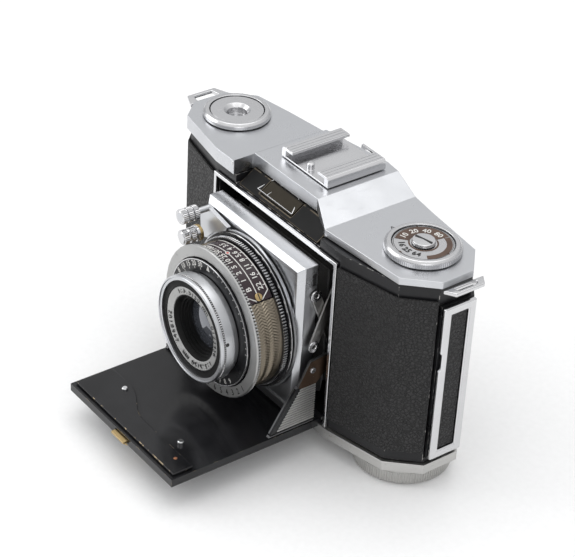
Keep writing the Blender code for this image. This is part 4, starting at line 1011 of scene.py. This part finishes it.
# The distance face.
softened("distance_face", RING_ENAMEL, 0.1)
FACE_FRONT = -low("distance_face").y
circle = turned(chamfered(19.62, 19.95, FACE_FRONT - 0.1, FACE_FRONT + 0.08, 0.04), LARGE)
finished("distance_circle", placed(circle, LENS_AXIS), "focus", TURNED_CHROME)
marks = []
for i, label in enumerate(("30", "20", "15", "10", "8", "6", "5", "4", "3")):
    angle = 106 + 10.5 * i
    marks.append(faced(written(label, 1.7), 18.5, angle, FACE_FRONT))
    marks.append(faced(bar((0, -0.35), (0, 0.35), 0.22), 17.25, angle, FACE_FRONT))
for i in range(14):
    marks.append(faced(bar((0, -0.3), (0, 0.3), 0.18), 19.1, 84 - 6.5 * i, FACE_FRONT))
for i in range(6):
    marks.append(faced(written(str(9 - i), 1.6), 18.4, 310 - 9 * i, FACE_FRONT, False))
arrow = [[(-0.75, -0.9, z), (0.75, -0.9, z), (0.0, 0.9, z)] for z in (0.0, 0.12)]
marks.append(faced(stitched(arrow), 18.7, 93, FACE_FRONT))
finished("distance_marks", together(*marks), "focus", WHITE_PAINT)

# The focusing ring, the name ring's place and the barrel inside it.
FOCUS_RADIUS = high("focus_ring").x
RING_FRONT = -low("focus_ring").y
RING_REAR = -high("focus_ring").y
outside = [
    (FOCUS_RADIUS - 1.5, RING_REAR),
    (FOCUS_RADIUS - 0.9, RING_REAR),
    (FOCUS_RADIUS - 0.9, RING_REAR + 1.8),
    (FOCUS_RADIUS - 0.1, RING_REAR + 1.8),
    (FOCUS_RADIUS, RING_REAR + 1.9),
    (FOCUS_RADIUS, RING_FRONT - 0.55),
    (FOCUS_RADIUS - 0.12, RING_FRONT - 0.15),
    (FOCUS_RADIUS - 0.3, RING_FRONT),
    (FOCUS_RADIUS - 0.55, RING_FRONT),
    (FOCUS_RADIUS - 0.65, RING_FRONT - 0.3),
    (FOCUS_RADIUS - 1.5, RING_FRONT - 0.4),
]
finished("focus_sleeve", placed(turned(outside, LARGE), LENS_AXIS), "focus", SATIN_CHROME, ("focus_ring",))
cone = [
    (13.15, 44.7),
    (FOCUS_RADIUS - 1.5, 44.7),
    (FOCUS_RADIUS - 0.66, RING_FRONT - 0.45),
    (FOCUS_RADIUS - 0.75, RING_FRONT - 0.3),
    (15.7, RING_FRONT - 0.75),
    (14.2, RING_FRONT - 1.0),
    (13.15, RING_FRONT - 0.75),
]
finished("focus_cone", placed(turned(cone, LARGE), LENS_AXIS), "focus", MATT_BLACK)
knurl = columns(150, FOCUS_RADIUS - 0.1, 0.2, RING_FRONT - 1.6, RING_FRONT - 1.05, 6, BRIGHT_CHROME)
finished("focus_knurl", placed(knurl, LENS_AXIS), "focus", BRIGHT_CHROME)
# painted shade: a black band under the knurl, showing between its columns as the shade in the groove
groove = chamfered(FOCUS_RADIUS - 0.4, FOCUS_RADIUS + 0.02, RING_FRONT - 1.68, RING_FRONT - 0.97, 0.01)
finished("focus_groove", placed(turned(groove, LARGE), LENS_AXIS), "focus", BLACK_PAINT_AND_SHADE)
# painted shade: a black disc stands for the shade inside the set-screw hole
hole = wrapped(disc(0.6, -0.2, 0.05, 0.02), FOCUS_RADIUS, 12, RING_FRONT - 2.2)
finished("focus_set_screw_hole_painted_shade", hole, "focus", BLACK_PAINT_AND_SHADE)
name_ring = [(10.4, 44.6), (10.4, 46.45), (10.6, 46.6), (12.9, 47.0), (13.12, 46.9), (13.12, 44.6)]
name_ring = placed(turned(name_ring, 140), LENS_AXIS)
finished("name_ring_silver", name_ring, "focus", RING_ALUMINIUM, ("name_ring",))
marks = []
for i, label in enumerate("1:3.5/50 mm  0123456  1:3.5/50 mm  2468102"):
    if label != " ":
        marks.append(faced(written(label, 1.75), 11.85, 128 - 7.4 * i, 46.92))
finished("name_ring_figures", together(*marks), "focus", BLACK_PAINT_AND_SHADE)
steps = [(10.38, 46.4), (10.1, 46.4), (9.6, 45.2), (9.6, 44.6), (9.0, 44.6), (9.0, 43.7), (8.5, 43.7)]
steps += [(8.5, 42.8), (8.0, 42.8), (8.0, 41.4), (10.38, 41.4)]
finished("front_barrel", placed(turned(steps, 120), LENS_AXIS), "focus", MATT_BLACK, ("front_lens",))
dome = [(0, 41.0)] + [(8.3 * i / 8, 42.9 - 1.5 * (i / 8) ** 2) for i in range(8, -1, -1)]
finished("front_glass", placed(turned(dome, 96), LENS_AXIS), "focus", LENS_GLASS, angle=60.0)

# ---------------------------------------------------------------- floor, light and view

FLOOR_Z = FRAME_BOX[0].z


def studio():
    """A flat pale floor under a soft sky, with one light panel overhead and one on each side."""
    bpy.ops.mesh.primitive_plane_add(size=8.0, location=(0, 0, FLOOR_Z))
    floor = bpy.context.object
    floor.name = "floor"
    material, tree, shader, place = surface("pale_floor", (0.9, 0.9, 0.9), 0.0, 0.6)
    paper = noise(tree, place, 2.0, 4.0)
    tree.links.new(
        blended(tree, ranged(tree, paper, 0.3, 0.7), (0.9, 0.9, 0.9), (0.87, 0.87, 0.87)),
        shader.inputs["Base Color"],
    )
    floor.data.materials.append(material)

    world = bpy.data.worlds.new("studio")
    bpy.context.scene.world = world
    world.use_nodes = True
    tree = world.node_tree
    way = add(tree, "ShaderNodeTexCoord").outputs["Generated"]
    up = add(tree, "ShaderNodeSeparateXYZ", {"Vector": way}).outputs["Z"]
    shade = ranged(tree, up, -0.1, 0.95)
    background = tree.nodes["Background"]
    sky = blended(tree, shade, (0.4, 0.41, 0.43), (1.15, 1.15, 1.15))
    tree.links.new(sky, background.inputs["Color"])
    background.inputs["Strength"].default_value = 0.95

    def panel(name, where, size, power):
        light = bpy.data.lights.new(name, "AREA")
        light.shape = "RECTANGLE"
        light.size, light.size_y = size
        light.energy = power
        holder = bpy.data.objects.new(name, light)
        bpy.context.scene.collection.objects.link(holder)
        holder.location = where
        aim = Vector((0, 0, 0.03)) - Vector(where)
        holder.rotation_euler = aim.to_track_quat("-Z", "Y").to_euler()

    panel("overhead_light", (-0.15, 0.1, 1.1), (1.0, 1.0), 3.2)
    panel("left_light", (-0.9, -0.7, 0.7), (0.8, 0.8), 4.5)
    panel("right_light", (1.0, -0.5, 0.6), (0.6, 0.8), 2.0)


studio()

view = bpy.data.cameras.new("view")
view.lens = 130.3
view.sensor_width = 36.0
camera = bpy.data.objects.new("view", view)
bpy.context.scene.collection.objects.link(camera)
camera.location = (0.40941, -0.33435, 0.38678)
camera.rotation_euler = [math.radians(angle) for angle in (56.163, -2.692, 53.616)]
bpy.context.scene.camera = camera
bpy.context.scene.view_settings.view_transform = "Standard"

bpy.context.view_layer.update()
